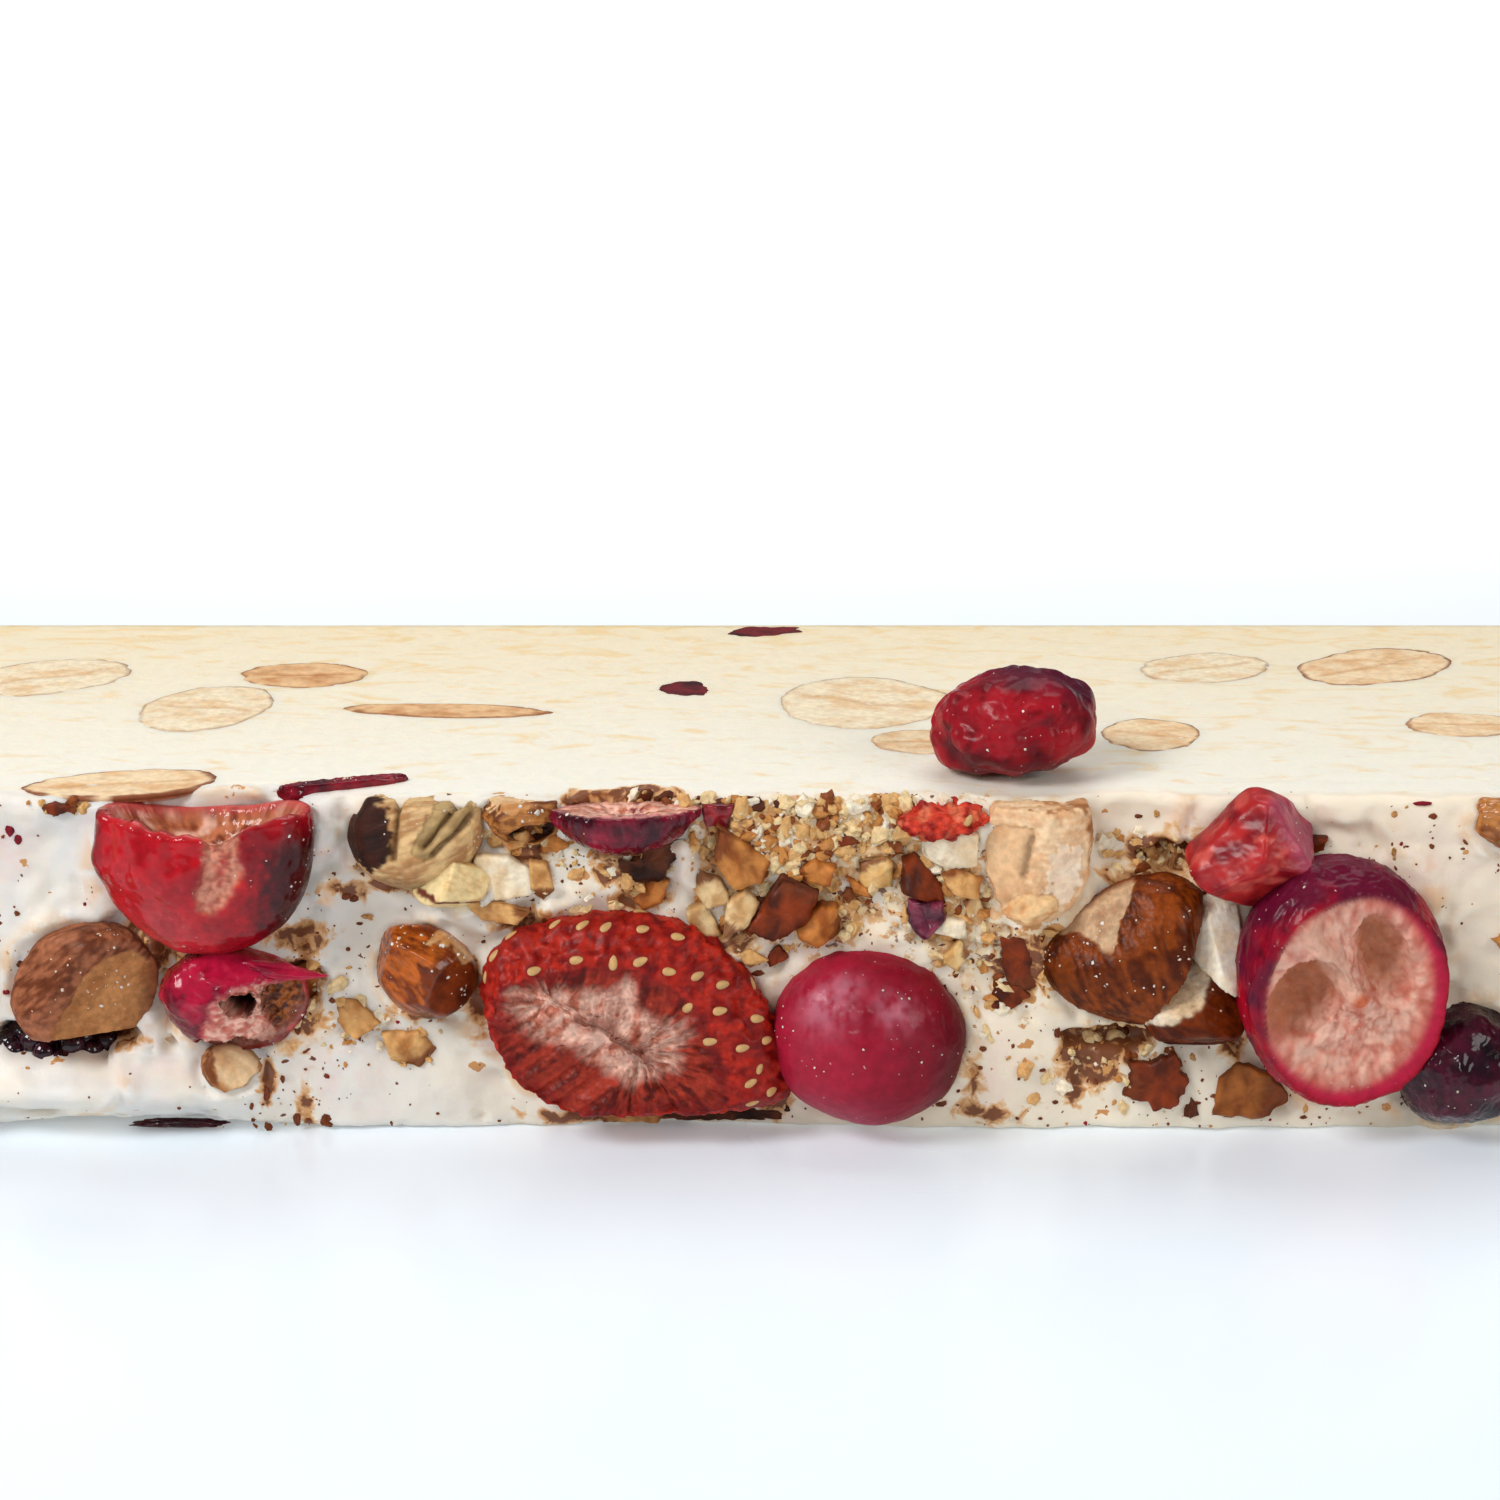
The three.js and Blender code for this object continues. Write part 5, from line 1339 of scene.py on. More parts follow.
def makeStrawberry(node, look):
    around, scale, seed, thick = look["around"], look["scale"], look["seed"], look["thick"]
    outline = loopPoints(sliceOutline, around) * scale
    shiftX, shiftZ = look["faceShift"]
    rim = sliceProfile[0][0]
    steps = [(share, 0, 1) for share in np.linspace(0, rim, look["faceRings"])]
    for at in np.linspace(0, len(sliceProfile) - 1, look["rimRings"])[1:]:
        share, back = (np.interp(at, range(len(sliceProfile)), column) for column in zip(*sliceProfile))
        steps.append((share, back, max(0, (0.98 - share) / 0.22) if back < 0.5 else 0))
    steps += [(share, 1, 0) for share in np.linspace(sliceProfile[-1][0], 0, 10)[1:]]
    points = np.concatenate([
        np.column_stack([outline[:, 0] * share + shiftX * lean, np.full(around, back * thick),
                         outline[:, 1] * share + shiftZ * lean]) for share, back, lean in steps])
    faces = ringFaces(len(steps), around)
    share, back = (np.repeat([step[i] for step in steps], around) for i in range(2))
    cut = smooth(share, rim + 0.02, rim - 0.02) * (back < 0.5)
    # petal-like ridges run outward from the core
    flat = points[:, [0, 2]] / scale
    start, side = np.array(coreLine[0]), np.array(coreLine[1]) - np.array(coreLine[0])
    along = np.clip(((flat - start) @ side) / (side @ side), 0, 1)
    offset = flat - start - along[:, None] * side
    away = np.linalg.norm(offset, axis=1)
    ringwise = np.column_stack([1.7 * offset / np.maximum(away, 0.3)[:, None], 1.5 * along + 0.08 * away])
    petals, streak = layered(ringwise * 2.2, seed, 3), layered(ringwise * 5, seed + 3, 3)
    rough = layered(points * 1.3 / scale, seed + 5)
    bumps = 1 - nearest(points * 1.05, seed + 7)
    gap = within(*flat.T, coreOutline)
    pale = smooth(gap + 1.1 * petals + 0.5 * streak + 0.3 * rough, -0.7, 0.6)
    crack = sum(hat(alongLine(*(flat.T + 0.3 * rough), a, b), 0.32) for a, b in zip(coreCrack, coreCrack[1:]))
    veins = ridged(points * 0.6 / scale, seed + 11)
    dent = np.clip(np.clip(crack, 0, 1) + 0.6 * smooth(veins, 0.55, 0.9) * smooth(gap, -2, 1), 0, 1)
    lumpy = 0.9 * petals * smooth(away, 0.4, 2) + 0.25 * streak + 0.22 * rough
    height = cut * (lumpy - 0.7 * dent + 0.3 * pale)
    height += (1 - cut) * (0.5 * (bumps - 0.5) + 0.30 * rough) * (back < 0.95)
    form = SimpleNamespace(points=points, faces=faces)
    swell(form, scale**0.5 * height)
    # skin red, with painted shade: darker between the bumps
    red = blend((188, 42, 26), (126, 16, 12), smooth(0.7 * rough + 0.6 * (0.5 - bumps), -0.25, 0.3))
    # painted shade: the flesh darkens in the valleys between the petal ridges
    flesh = blend((164, 52, 34), (92, 16, 8), smooth(0.9 * streak - 1.2 * petals + 0.5 * rough, -0.35, 0.35))
    flesh = blend(flesh, (128, 20, 18), smooth(share / rim - 0.3 * rough, 0.8, 1) * 0.75)
    grain = 0.8 * streak - 0.6 * petals + 0.6 * rough
    white = blend((232, 186, 166), (196, 116, 92), smooth(grain, -0.2, 0.4))
    # pale core and streaks, with painted shade: darker in the cracks and veins
    flesh = blend(blend(flesh, white, pale), (120, 48, 32), dent * 0.75)
    paint = blend(red, flesh, cut)
    form.points = form.points @ turnMatrix((0, -look["turn"], 0)).T
    fitted(form, node)
    points = form.points
    foot = points[:, 2].min()
    points[:, 2] = foot + (points[:, 2] - foot) * look["tall"]
    normals = normalsOf(relaxed(points, faces, 8), faces)
    pits = np.zeros(len(points))
    for x, z, tilt in look["seeds"]:
        at = np.argmin((points[:, 0] - x) ** 2 + (points[:, 2] - z) ** 2 + 100 * (back > 0.6))
        spot, normal = points[at], normals[at]
        near = hat(np.linalg.norm(points - spot, axis=1), 0.95 * scale**0.4, 4)
        # a shallow bed for the seed
        points = points - normal * (near * ((points - spot) @ normal + 0.12))[:, None]
        pits = np.maximum(pits, near)
        addSeed(spot, normal, tilt, scale**0.4)
    # painted shade: darker skin round each seed bed
    paint = blend(paint, (120, 16, 16), 0.5 * pits * (1 - cut))
    wet = 0.35 + 0.3 * (1 - cut) + 0.2 * rough
    meshPiece(node + "_fruit", points, faces, strawberrySkin, (node,), paint, wet)


def addSeed(spot, normal, tilt, scale):
    shape, faces = ball(3)
    shape[:, 1:] *= 1 - 0.28 * shape[:, :1]
    shape = shape * (0.64, 0.37, 0.28) * scale
    flat = np.array([math.cos(math.radians(tilt)), 0, math.sin(math.radians(tilt))])
    along = flat - normal * (flat @ normal)
    along /= np.linalg.norm(along)
    across = np.cross(normal, along)
    points = shape[:, :1] * along + shape[:, 1:2] * across + shape[:, 2:] * normal + spot + normal * 0.06
    edge = np.abs(shape[:, 1]) / (0.46 * scale)
    # painted shade: each seed darker along its sides
    seeds.add(points, faces, blend((208, 164, 108), (150, 92, 48), smooth(edge, 0.3, 1)))


strawberryBit = dict(
    middle=(13.2, 0.3, 23.2), size=(3.4, 2, 1.5), turn=(0, -6, 0), seed=107, dents=0.14, dentScale=1.8,
    cuts=[((0, 0, 1), 1.28)], sharp=50, seedAt=(14.7, 23.6),
)


def makeStrawberryBit():
    look = strawberryBit
    form = formed(look)
    bumps = 1 - nearest(form.points * 1.1, 109)
    rough = layered(form.points * 0.9, 111)
    swell(form, 0.7 * (bumps - 0.5) + 0.5 * rough)
    paint = blend((214, 66, 44), (142, 22, 20), smooth(rough, -0.25, 0.35))
    paint = blend(paint, (226, 120, 82), clouds(form.points * 0.7, 113, 0.05, 0.35) * 0.7)
    finishPiece("strawberry_bit_torn", "strawberry_bit", form, paint, strawberrySkin, 0.6)
    x, y, z = form.points.T
    seedX, seedZ = look["seedAt"]
    front = np.argmin(y + 2 * np.abs(x - seedX) + 2 * np.abs(z - seedZ))
    addSeed(form.points[front], np.array([0, -1, 0]), 60, 0.7)


for node, look in strawberries.items():
    makeStrawberry(node, look)
makeStrawberryBit()
seeds.piece("strawberry_seeds", seedSkin, ("strawberry_slice",), None, 0.7)
print("strawberries")


# Bramble: a cluster of small black beads, each a golden angle on from the last

brambleLook = dict(middle=(-48.7, -1.9, 4.6), size=(6.2, 3, 3.6), beads=64, bead=1.15, goldenAngle=2.39996)


def makeBramble():
    look = brambleLook
    random = np.random.default_rng(121)
    shape, faces = ball(4)
    x, stand, z = look["middle"]
    cluster = Joined()
    for i in range(look["beads"]):
        up = 1 - 2 * (i + 0.5) / look["beads"]
        angle, ring = i * look["goldenAngle"], math.sqrt(1 - up * up)
        out = np.array([ring * math.cos(angle), ring * math.sin(angle), up])
        size = look["bead"] * random.uniform(0.85, 1.1)
        centre = out * (np.array(look["size"]) - 0.9 * size) + random.normal(0, 0.1, 3)
        bead = shape * size * (1 + 0.05 * noise(shape * 1.5 + i, 123))[:, None]
        paint = blend((52, 14, 30), (14, 6, 12), smooth(noise(shape * 2 + 3 * i, 125), -0.2, 0.3))
        cluster.add(bead + centre + (x, face - stand, z), faces, paint)
    points, faces, paint = cluster.all()
    form = SimpleNamespace(points=points)
    fitted(form, "bramble_berry")
    beadFinish = dict(darkBerryFinish, wet=0.16, coat=0.9, coatRoughness=0.06, mottle=0.1)
    beads = foodFinish("bramble_beads", beadFinish)
    meshPiece("bramble_cluster", form.points, faces, beads, ("bramble_berry",), paint, 0.9)


makeBramble()
print("bramble")


# Nuts and fruit cut through by the knife: thin lens-like faces lying in the smooth sides

sectionSkin = foodFinish("cut_nut", dict(nutFinish, mottle=0.10, wet=0.4, dry=0.6, relief=0.04))
sectionLook = dict(
    rings=30, around=96, proud=0.05, rim=(142, 84, 52), redRim=(40, 8, 14), rimWide=0.32,
    underside=[(0.995, -0.3), (0.9, -0.55), (0.4, -0.6), (0, -0.6)],  # share of the outline, height
)
almondFills = dict(
    pale=tints(250, 222, 182, 232, 186, 136), cream=tints(250, 232, 200, 238, 202, 156),
    tan=tints(240, 196, 146, 206, 146, 94), red=tints(120, 26, 34, 54, 12, 20),
)
# name, fill, strength of the brown line round it, half sizes and turn within its own plane
sections = [
    ("almond_cut_01", "pale", 1, 6.6, 2.9, 10), ("nut_cut_02", "cream", 0.5, 4.6, 6, -20),
    ("almond_cut_03", "tan", 0.7, 4.9, 3.4, 0), ("nut_cut_04", "cream", 0.5, 6.4, 4.6, 25),
    ("almond_cut_05", "tan", 0.8, 7.6, 1.8, -4), ("fruit_cut_06", "red", 0.3, 1.8, 2, 30),
    ("almond_cut_07", "cream", 0.45, 6.4, 6.6, -15), ("nut_cut_08", "pale", 0.5, 3.6, 3, 0),
    ("almond_cut_09", "pale", 0.8, 3.5, 4, -20), ("nut_cut_10", "cream", 0.5, 5.2, 3.9, 20),
    ("almond_cut_11", "pale", 0.9, 6.9, 4.4, 32), ("almond_cut_12", "pale", 0.7, 4.3, 3, 0),
    ("fruit_cut_13", "red", 0.4, 3, 1.4, 10), ("almond_cut_14", "pale", 0.8, 5.4, 4, 40),
    ("nut_cut_15", "tan", 0.6, 4.2, 5, 15), ("almond_cut_16", "pale", 0.8, 6, 4.2, 30),
    ("almond_cut_17", "tan", 0.9, 3.8, 5.6, 20), ("almond_cut_18", "pale", 0.9, 3.8, 6, -25),
    ("almond_cut_19", "tan", 1, 6.4, 4.2, 15), ("almond_cut_20", "pale", 0.9, 5.8, 3.9, -30),
]
# top, underneath, back, left and right: own x, own y, outward, the surface, and which way round it turns
planes = [
    ((1, 0, 0), (0, 1, 0), (0, 0, 1), barHeight, 1), ((1, 0, 0), (0, -1, 0), (0, 0, -1), 0, -1),
    ((-1, 0, 0), (0, 0, 1), (0, 1, 0), halfDepth, -1), ((0, -1, 0), (0, 0, 1), (-1, 0, 0), halfLength, -1),
    ((0, 1, 0), (0, 0, 1), (1, 0, 0), halfLength, 1),
]


def makeSection(name, fill, rimStrength, wide, tall, turn, seed):
    look = sectionLook
    low, high = boxOf(name)
    *ways, surface, sign = min(planes, key=lambda plane: abs(plane[3] - max(low @ plane[2], high @ plane[2])))
    across, upward, facing = np.array(ways, float)
    spin = turnMatrix((0, 0, sign * turn))[:2, :2]
    angle = np.linspace(0, 2 * math.pi, look["around"], endpoint=False)
    circle = np.column_stack([np.cos(angle), np.sin(angle)])
    uneven = 0.4 if fill == "red" else 0.16
    wobble = 1 + uneven * layered(np.column_stack([circle * 1.2, np.full(len(circle), seed)]), seed, 3)
    edge = (circle * wobble[:, None] * (wide, tall)) @ spin.T
    underShares, underHeights = zip(*look["underside"])
    shares = np.append(np.linspace(0, 1, look["rings"]), underShares)
    heights = np.append(np.zeros(look["rings"]), underHeights)
    flat = np.concatenate([edge * share for share in shares])
    share, depth = np.repeat(shares, len(edge)), np.repeat(heights, len(edge))
    seeded = np.column_stack([flat, np.full(len(flat), 3 * seed)])
    rough = layered(seeded * 0.9, seed + 1)
    middleLine = (flat @ spin)[:, 1] + 0.25 * tall * noise(seeded * 0.25, seed + 5)
    halves = hat(middleLine, 0.055 * tall + 0.1) * smooth(share, 0.88, 0.7) * (tall > 2.2)
    rise = np.where(depth < 0, depth, look["proud"] * smooth(share, 1, 0.9) + 0.04 * rough - 0.04 * halves)
    base = (low + high) / 2 * (1 - np.abs(facing)) + facing * surface
    points = base + flat[:, :1] * across + flat[:, 1:] * upward + rise[:, None] * facing
    light, dark = almondFills[fill]
    paint = blend(light, dark, clouds(seeded * (0.35, 0.5, 1), seed + 3, -0.25, 0.5, 4))
    paint = blend(paint, dark * (0.8, 0.66, 0.5), halves * 0.55 + 0.35 * smooth(rough, 0.25, 0.55))
    fromEdge = (1 - share) * min(wide, tall) + 0.25 * rough
    broken = clouds(seeded * 0.5, seed + 7, -0.45, -0.1)
    line = smooth(fromEdge, look["rimWide"], 0.3 * look["rimWide"]) * broken
    paint = blend(paint, look["redRim" if fill == "red" else "rim"], line * rimStrength)
    faces = ringFaces(len(shares), len(edge))
    meshPiece(name + "_face", points, faces, sectionSkin, (name,), paint, 0.5 + 0.3 * rough)


for number, section in enumerate(sections):
    makeSection(*section, 200 + 9 * number)
print("cut faces")


# Chips of nut and skin lying in the decorated side: outline in x and z, kind, how far it stands out, lean

chipKinds = dict(
    honey=tints(206, 136, 68, 146, 78, 28), tan=tints(224, 172, 108, 178, 116, 58),
    pale=tints(236, 204, 152, 204, 156, 100), yellow=tints(240, 206, 146, 214, 164, 98),
    skin=tints(138, 52, 10, 72, 23, 3), dark=tints(104, 50, 22, 40, 14, 4),
    orange=tints(208, 132, 62, 156, 80, 24), purple=tints(140, 52, 76, 60, 14, 34),
    red=tints(150, 30, 36, 88, 10, 18), matte=tints(168, 98, 40, 126, 64, 20),
    white=tints(248, 232, 204, 234, 204, 162),
)
chips = [
    (
        [
            (-9.9, 20.2), (-8.1, 20), (-7, 21.3), (-4.4, 21.8), (-5.3, 19.8), (-6.2, 18.7), (-7.5, 18.4),
            (-8.9, 19.2),
        ], "dark", 0.7, 0.2,
    ), ([(-7.8, 18.2), (-6.6, 19), (-5.5, 18.5), (-6, 17), (-7.3, 16.5), (-8, 17.3)], "orange", 0.8, -0.1),
    ([(-15, 20.4), (-13.8, 20.2), (-13.3, 18.2), (-14.1, 17.4), (-15, 18.2)], "tan", 0.5, 0.1),
    ([(-19.5, 17.4), (-17.1, 17.4), (-15, 16.7), (-15.9, 15.8), (-18.4, 16.1)], "tan", 0.6, -0.1),
    ([(-14.5, 21.7), (-13.3, 22.1), (-12.3, 21.1), (-13.4, 20.1), (-14.4, 20.6)], "orange", 0.7, 0),
    ([(-17, 21.9), (-15.2, 22.4), (-14.4, 21.5), (-16.4, 21)], "tan", 0.35, 0.1),
    ([(-3.5, 19.4), (-1.9, 18.8), (-1.3, 17.3), (-3, 16.7), (-3.9, 18)], "pale", 0.9, 0.2),
    ([(-1.6, 17.3), (-0.4, 18.3), (0.7, 17.3), (-0.2, 15.6), (-1.8, 14.9)], "pale", 0.9, -0.2),
    ([(-4.4, 16.7), (-3.1, 17.2), (-1.9, 14.9), (-3, 14.5), (-4.2, 15.7)], "pale", 0.7, 0.1),
    ([(-2.2, 22.9), (1.5, 20.2), (0.9, 18.7), (-1.1, 18.1), (-2.4, 20.3)], "honey", 1.3, 0.25),
    ([(-3.3, 24.2), (-1.1, 24.2), (-1.5, 22.5), (-3, 22.5)], "red", 0.5, 0),
    ([(-0.4, 15.2), (2.2, 19.4), (4.8, 18.1), (3.9, 15.8), (1.5, 14.4)], "skin", 1.5, -0.25),
    ([(2.8, 19.3), (4.5, 20.5), (5.9, 19.9), (5.4, 18.7), (3.9, 18.7)], "orange", 1.2, 0.3),
    ([(3, 15.6), (4.9, 17.2), (6, 16.9), (6.2, 15.2), (4.7, 13.8), (3.2, 14.8)], "orange", 1.4, 0.1),
    ([(7.4, 20), (9.2, 20.4), (9.8, 19.9), (9.8, 18.1), (7.6, 18)], "yellow", 1.2, 0.15),
    ([(6.6, 18.9), (8, 18.2), (8.4, 17.4), (7.2, 17.6)], "orange", 0.8, 0),
    ([(10.4, 20.2), (11.2, 20.7), (13.2, 18.4), (13.4, 17), (11.7, 17.4), (10.4, 18.2)], "skin", 1.2, 0.3),
    ([(10.8, 17.3), (13.1, 17.3), (13.5, 16.1), (11.9, 14.3), (10.8, 15.5)], "purple", 1.1, 0),
    ([(12.4, 15), (13.3, 16.1), (14.8, 15.9), (14.8, 14.5)], "white", 0.6, 0.2),
    ([(13, 19.3), (14.2, 19.8), (15.8, 18.9), (15.6, 17.4), (13.8, 17.8)], "tan", 1, -0.1),
    ([(11.7, 22.1), (13.4, 22.9), (15.5, 22.2), (15.5, 19.9), (13.4, 19.5), (11.7, 20.7)], "white", 1, 0),
    ([(13.3, 13.4), (14.4, 14.5), (15.1, 13.4), (14.2, 12.2), (13.3, 12.8)], "yellow", 0.5, 0.1),
    ([(14.6, 17.2), (15.6, 17.6), (16.2, 16.2), (15, 15.8)], "pale", 0.5, 0.1),
    ([(17.2, 14.4), (20.2, 14.6), (19.6, 12), (20, 10.8), (18.2, 10.4), (17.6, 12.2)], "skin", 0.25, 0),
    ([(16.8, 11.2), (18.6, 10.9), (19.4, 10.2), (17.4, 8.8), (16.6, 9.4)], "skin", 0.35, 0.1),
    (
        [(26.5, 5.3), (28.4, 5.6), (29.4, 6.2), (30.4, 4.2), (29.8, 2.4), (28.1, 1.9), (26.2, 3.1)], "skin",
        0.5, 0.1,
    ), ([(32.6, 4.3), (33.9, 5.6), (36.2, 4.6), (37.6, 3), (35.9, 1.2), (31.9, 1.4)], "matte", 0.6, 0.15),
    ([(36.6, 20.8), (37.5, 21.7), (39.2, 21.6), (39.1, 20.8), (36.7, 20)], "skin", 0.6, 0),
    ([(-10.5, 1.3), (-6.6, 1.5), (-6.4, 0.5), (-10.3, 0.5)], "tan", 0.6, 0),
    ([(-6.4, 1.3), (-1, 1.9), (2.6, 2.5), (3.3, 1.4), (2.2, 0.6), (-5.3, 0.5)], "dark", 0.2, 0),
    ([(-29.2, 10.2), (-27.2, 9.8), (-25.6, 8.2), (-27.4, 7), (-29, 8.6)], "tan", 0.7, 0.2),
    ([(-25.6, 7.4), (-23, 7.6), (-21.8, 6.2), (-23, 4.8), (-25, 5.4)], "tan", 0.7, -0.1),
    ([(-31.5, 11.9), (-29.9, 12.5), (-29.5, 10.2), (-31.2, 8.8)], "orange", 0.2, 0),
    (
        [(-18.7, 20.8), (-16.6, 20.7), (-14.7, 19.6), (-14.5, 18), (-16.8, 17.4), (-18.9, 17.8)], "white",
        0.45, 0.05,
    ), ([(-27.3, 20.4), (-24.6, 20), (-22.4, 18.8), (-24.4, 18.2), (-26.4, 19.2)], "dark", 0.3, 0),
    ([(0.8, 13), (2, 13.8), (2.8, 12.9), (1.4, 12.2)], "skin", 0.4, 0),
    ([(-1, 13.4), (0, 13.9), (1.3, 13), (0, 12.5)], "tan", 0.3, 0),
    ([(4, 21.4), (6.6, 21.9), (7.6, 21.4), (6.4, 21)], "skin", 0.5, 0.1),
    ([(-48.8, 23.6), (-47.2, 24.2), (-45.6, 23.9), (-47, 23.2)], "skin", 0.3, 0.1),
]
# more of them past the ends of the busy middle: x, z, half size, kind
looseChips = [
    (-57, 12.5, 1.6, "tan"), (-54.5, 16, 1.2, "skin"), (-64.5, 11.5, 1.8, "honey"), (-66, 3.4, 1.6, "pale"),
    (-72, 13, 1.3, "orange"), (-55.5, 3.5, 1.4, "skin"), (-62.5, 22, 1.5, "yellow"),
    (-71.5, 21.5, 1.2, "dark"), (56.5, 8.5, 1.5, "tan"), (55, 17.5, 1.3, "skin"), (64, 20.5, 1.6, "honey"),
    (61.5, 11, 1.2, "orange"), (72.5, 5.5, 1.5, "pale"), (70.5, 22, 1.4, "skin"),
    (57.5, 22.5, 1.2, "yellow"), (55, 2.5, 1.2, "dark"),
]
# share of the outline, how far it has dropped back towards the nougat
chipProfile = [
    (0, 0), (0.25, 0), (0.45, 0), (0.62, 0), (0.76, 0.02), (0.87, 0.07), (0.95, 0.2), (1, 0.45), (1.02, 0.9),
    (1, 1.6),
]
chipAround = 60


def makeChips():
    random = np.random.default_rng(131)
    rows = list(chips)
    for x, z, size, kind in looseChips:
        angles = np.sort(random.uniform(0, 2 * math.pi, 6))
        reach = size * random.uniform(0.8, 1.15, 6)
        corners = np.column_stack([x + reach * np.cos(angles), z + reach * np.sin(angles)])
        rows.append((corners, kind, 0.8, random.uniform(-0.2, 0.2)))
    shares, drops = zip(*chipProfile)
    matt, glossy = Joined(), Joined()
    for number, (corners, kind, stand, lean) in enumerate(rows):
        edge = evenly(corners, chipAround)
        centre = edge.mean(0)
        jag = layered(np.column_stack([edge * 1.1, np.full(len(edge), number)]), 133, 3)
        jag *= 0.34 if kind in ("skin", "dark") and stand < 1 else 0.15
        flat = np.concatenate([
            centre + (edge - centre) * (share * (1 + jag * (share > 0.3)))[:, None] for share in shares])
        share, depth = np.repeat(shares, len(edge)), np.repeat(drops, len(edge))
        seeded = np.column_stack([flat, np.full(len(flat), 2 * number)])
        facet, rough = noise(seeded * 0.5, 135), layered(seeded * 1.3, 137, 3)
        away = flat - centre
        turned = away @ (math.cos(2.4 * number), math.sin(2.4 * number)) / np.ptp(edge, axis=0).mean()
        faceted = stand * (0.8 * facet - 0.9 * np.maximum(turned, 0)) * (share < 0.96)
        out = stand * (1 - depth) + 0.2 * rough + faceted
        out += lean * (away[:, 0] * math.cos(number) + away[:, 1] * math.sin(number)) * (share < 1.01)
        points = np.column_stack([flat[:, 0], faceY(*centre.reshape(2, 1))[0] - out, flat[:, 1]])
        light, dark = chipKinds[kind]
        paint = blend(light, dark, smooth(layered(seeded * (0.9, 0.5, 1), 139) + 0.25 * facet, -0.35, 0.4))
        if kind not in ("white", "red", "purple", "dark"):  # brown skin left along one side
            paint = blend(paint, (118, 54, 22), smooth(turned + 0.2 * rough, 0.22, 0.34) * 0.85)
        # painted shade: darker where the chip's sides drop back into the nougat
        paint = blend(paint, dark * 0.6, smooth(depth, 0.1, 0.7) * 0.6)
        (glossy if kind in ("purple", "red") else matt).add(points, ringFaces(len(shares), len(edge)), paint)
    matt.piece("nut_chips_matt", nutSkins["nut"], ("nougat",), "nut_honey", 0.45)
    glossy.piece("nut_chips_glossy", nutSkins["honey"], ("nougat",), "nut_honey", 0.8)


makeChips()
print("chips")


# Crumbs, flecks and powder

# centre x and z, half sizes, how many
crumbZones = [
    (4.5, 21.8, 8.5, 2.6, 460), (3.5, 17.2, 7, 3.4, 220), (14, 17.8, 4, 3.4, 110), (-8, 19.5, 6, 3, 60),
    (17, 11, 4, 4, 60), (25, 5, 6, 3.4, 60), (28, 20.3, 3.6, 1.2, 60), (-26.5, 8, 5, 3, 50),
    (-14.5, 22, 3.5, 2, 50), (-31, 10, 2.5, 2.5, 30), (-62, 13, 11, 10, 120), (63, 13, 11, 10, 120),
    (-46.5, 23.8, 2.5, 0.5, 16), (-3, 24, 5, 0.5, 60), (10, 24, 3.5, 0.5, 40),
]
crumbColours = [
    tint(238, 206, 154), tint(222, 170, 108), tint(196, 132, 70), tint(136, 70, 28), tint(248, 232, 204),
    tint(84, 36, 12),
]
crumbShares = [0.34, 0.27, 0.13, 0.06, 0.17, 0.03]
crumbLook = dict(least=0.12, more=0.62, foot=0.6, top=0.35, sunk=0.5)  # sunk is a share of the size
# x, z, half width, half height, and the colour where it is not brown
flecks = [
    (-28, 17, 0.5, 0.26), (-27.3, 16.8, 0.3, 0.26), (-26.5, 15.4, 0.48, 0.19, "tan"),
    (-27, 14.9, 0.24, 0.11), (-27.8, 13.2, 0.16, 0.15), (-28.9, 9.8, 0.21, 0.22), (-50.3, 12.6, 0.4, 0.3),
    (-51.3, 10.6, 0.24, 0.19, "red"), (-50.6, 22, 0.34, 0.5, "red"), (-50.1, 21.2, 0.26, 0.4, "red"),
    (-45.6, 16.8, 0.14, 0.15, "red"), (-31.4, 7.6, 0.21, 0.44), (-33.6, 3.4, 0.28, 0.59),
    (-32.5, 4.2, 0.17, 0.3), (-31.7, 1, 0.24, 0.56), (-29.6, 0.8, 0.48, 0.52), (-33.7, 0.4, 0.28, 0.3),
    (-34.7, 1.1, 0.14, 0.15), (-39.5, 2.7, 0.14, 0.11), (-29.9, 8.6, 0.21, 0.22, "tan"),
    (-27, 19.5, 0.17, 0.3, "tan"), (45.6, 24.2, 0.62, 0.16, "red"), (43.8, 23.3, 0.21, 0.26, "tan"),
    (43.8, 20.8, 0.17, 0.33, "tan"), (44.7, 21.1, 0.17, 0.07), (27.8, 23, 0.21, 0.3, "tan"),
    (26.6, 22.7, 0.26, 0.16), (21.3, 7.5, 0.24, 0.37), (13.3, 2.3, 0.41, 0.3), (11, 1.9, 0.28, 0.22),
    (14.5, 3.3, 0.14, 0.15), (16.1, 6.6, 0.28, 0.19), (21.3, 2.3, 0.21, 0.15), (20.3, 1.1, 0.17, 0.11),
    (18.7, 1.1, 0.14, 0.22), (14.3, 11.7, 0.28, 0.33), (12.7, 13.3, 0.28, 0.3), (38.7, 1.1, 0.28, 0.15),
    (0.6, 12.6, 0.21, 0.15), (0.5, 11.7, 0.48, 0.22), (20.3, 4.8, 0.28, 0.15), (31.2, 2.4, 0.28, 0.11),
    (48.9, 15.4, 0.1, 0.11),
]
fleckColours = dict(brown=tint(120, 56, 22), tan=tint(206, 150, 88), red=tint(140, 16, 34))
smallFlecks = dict(
    many=420, least=0.06, more=0.16, spread=0.7, edge=0.6, foot=0.5, lean=0.15,
    shares=[0.62, 0.28, 0.10],  # in the order of the colours
)
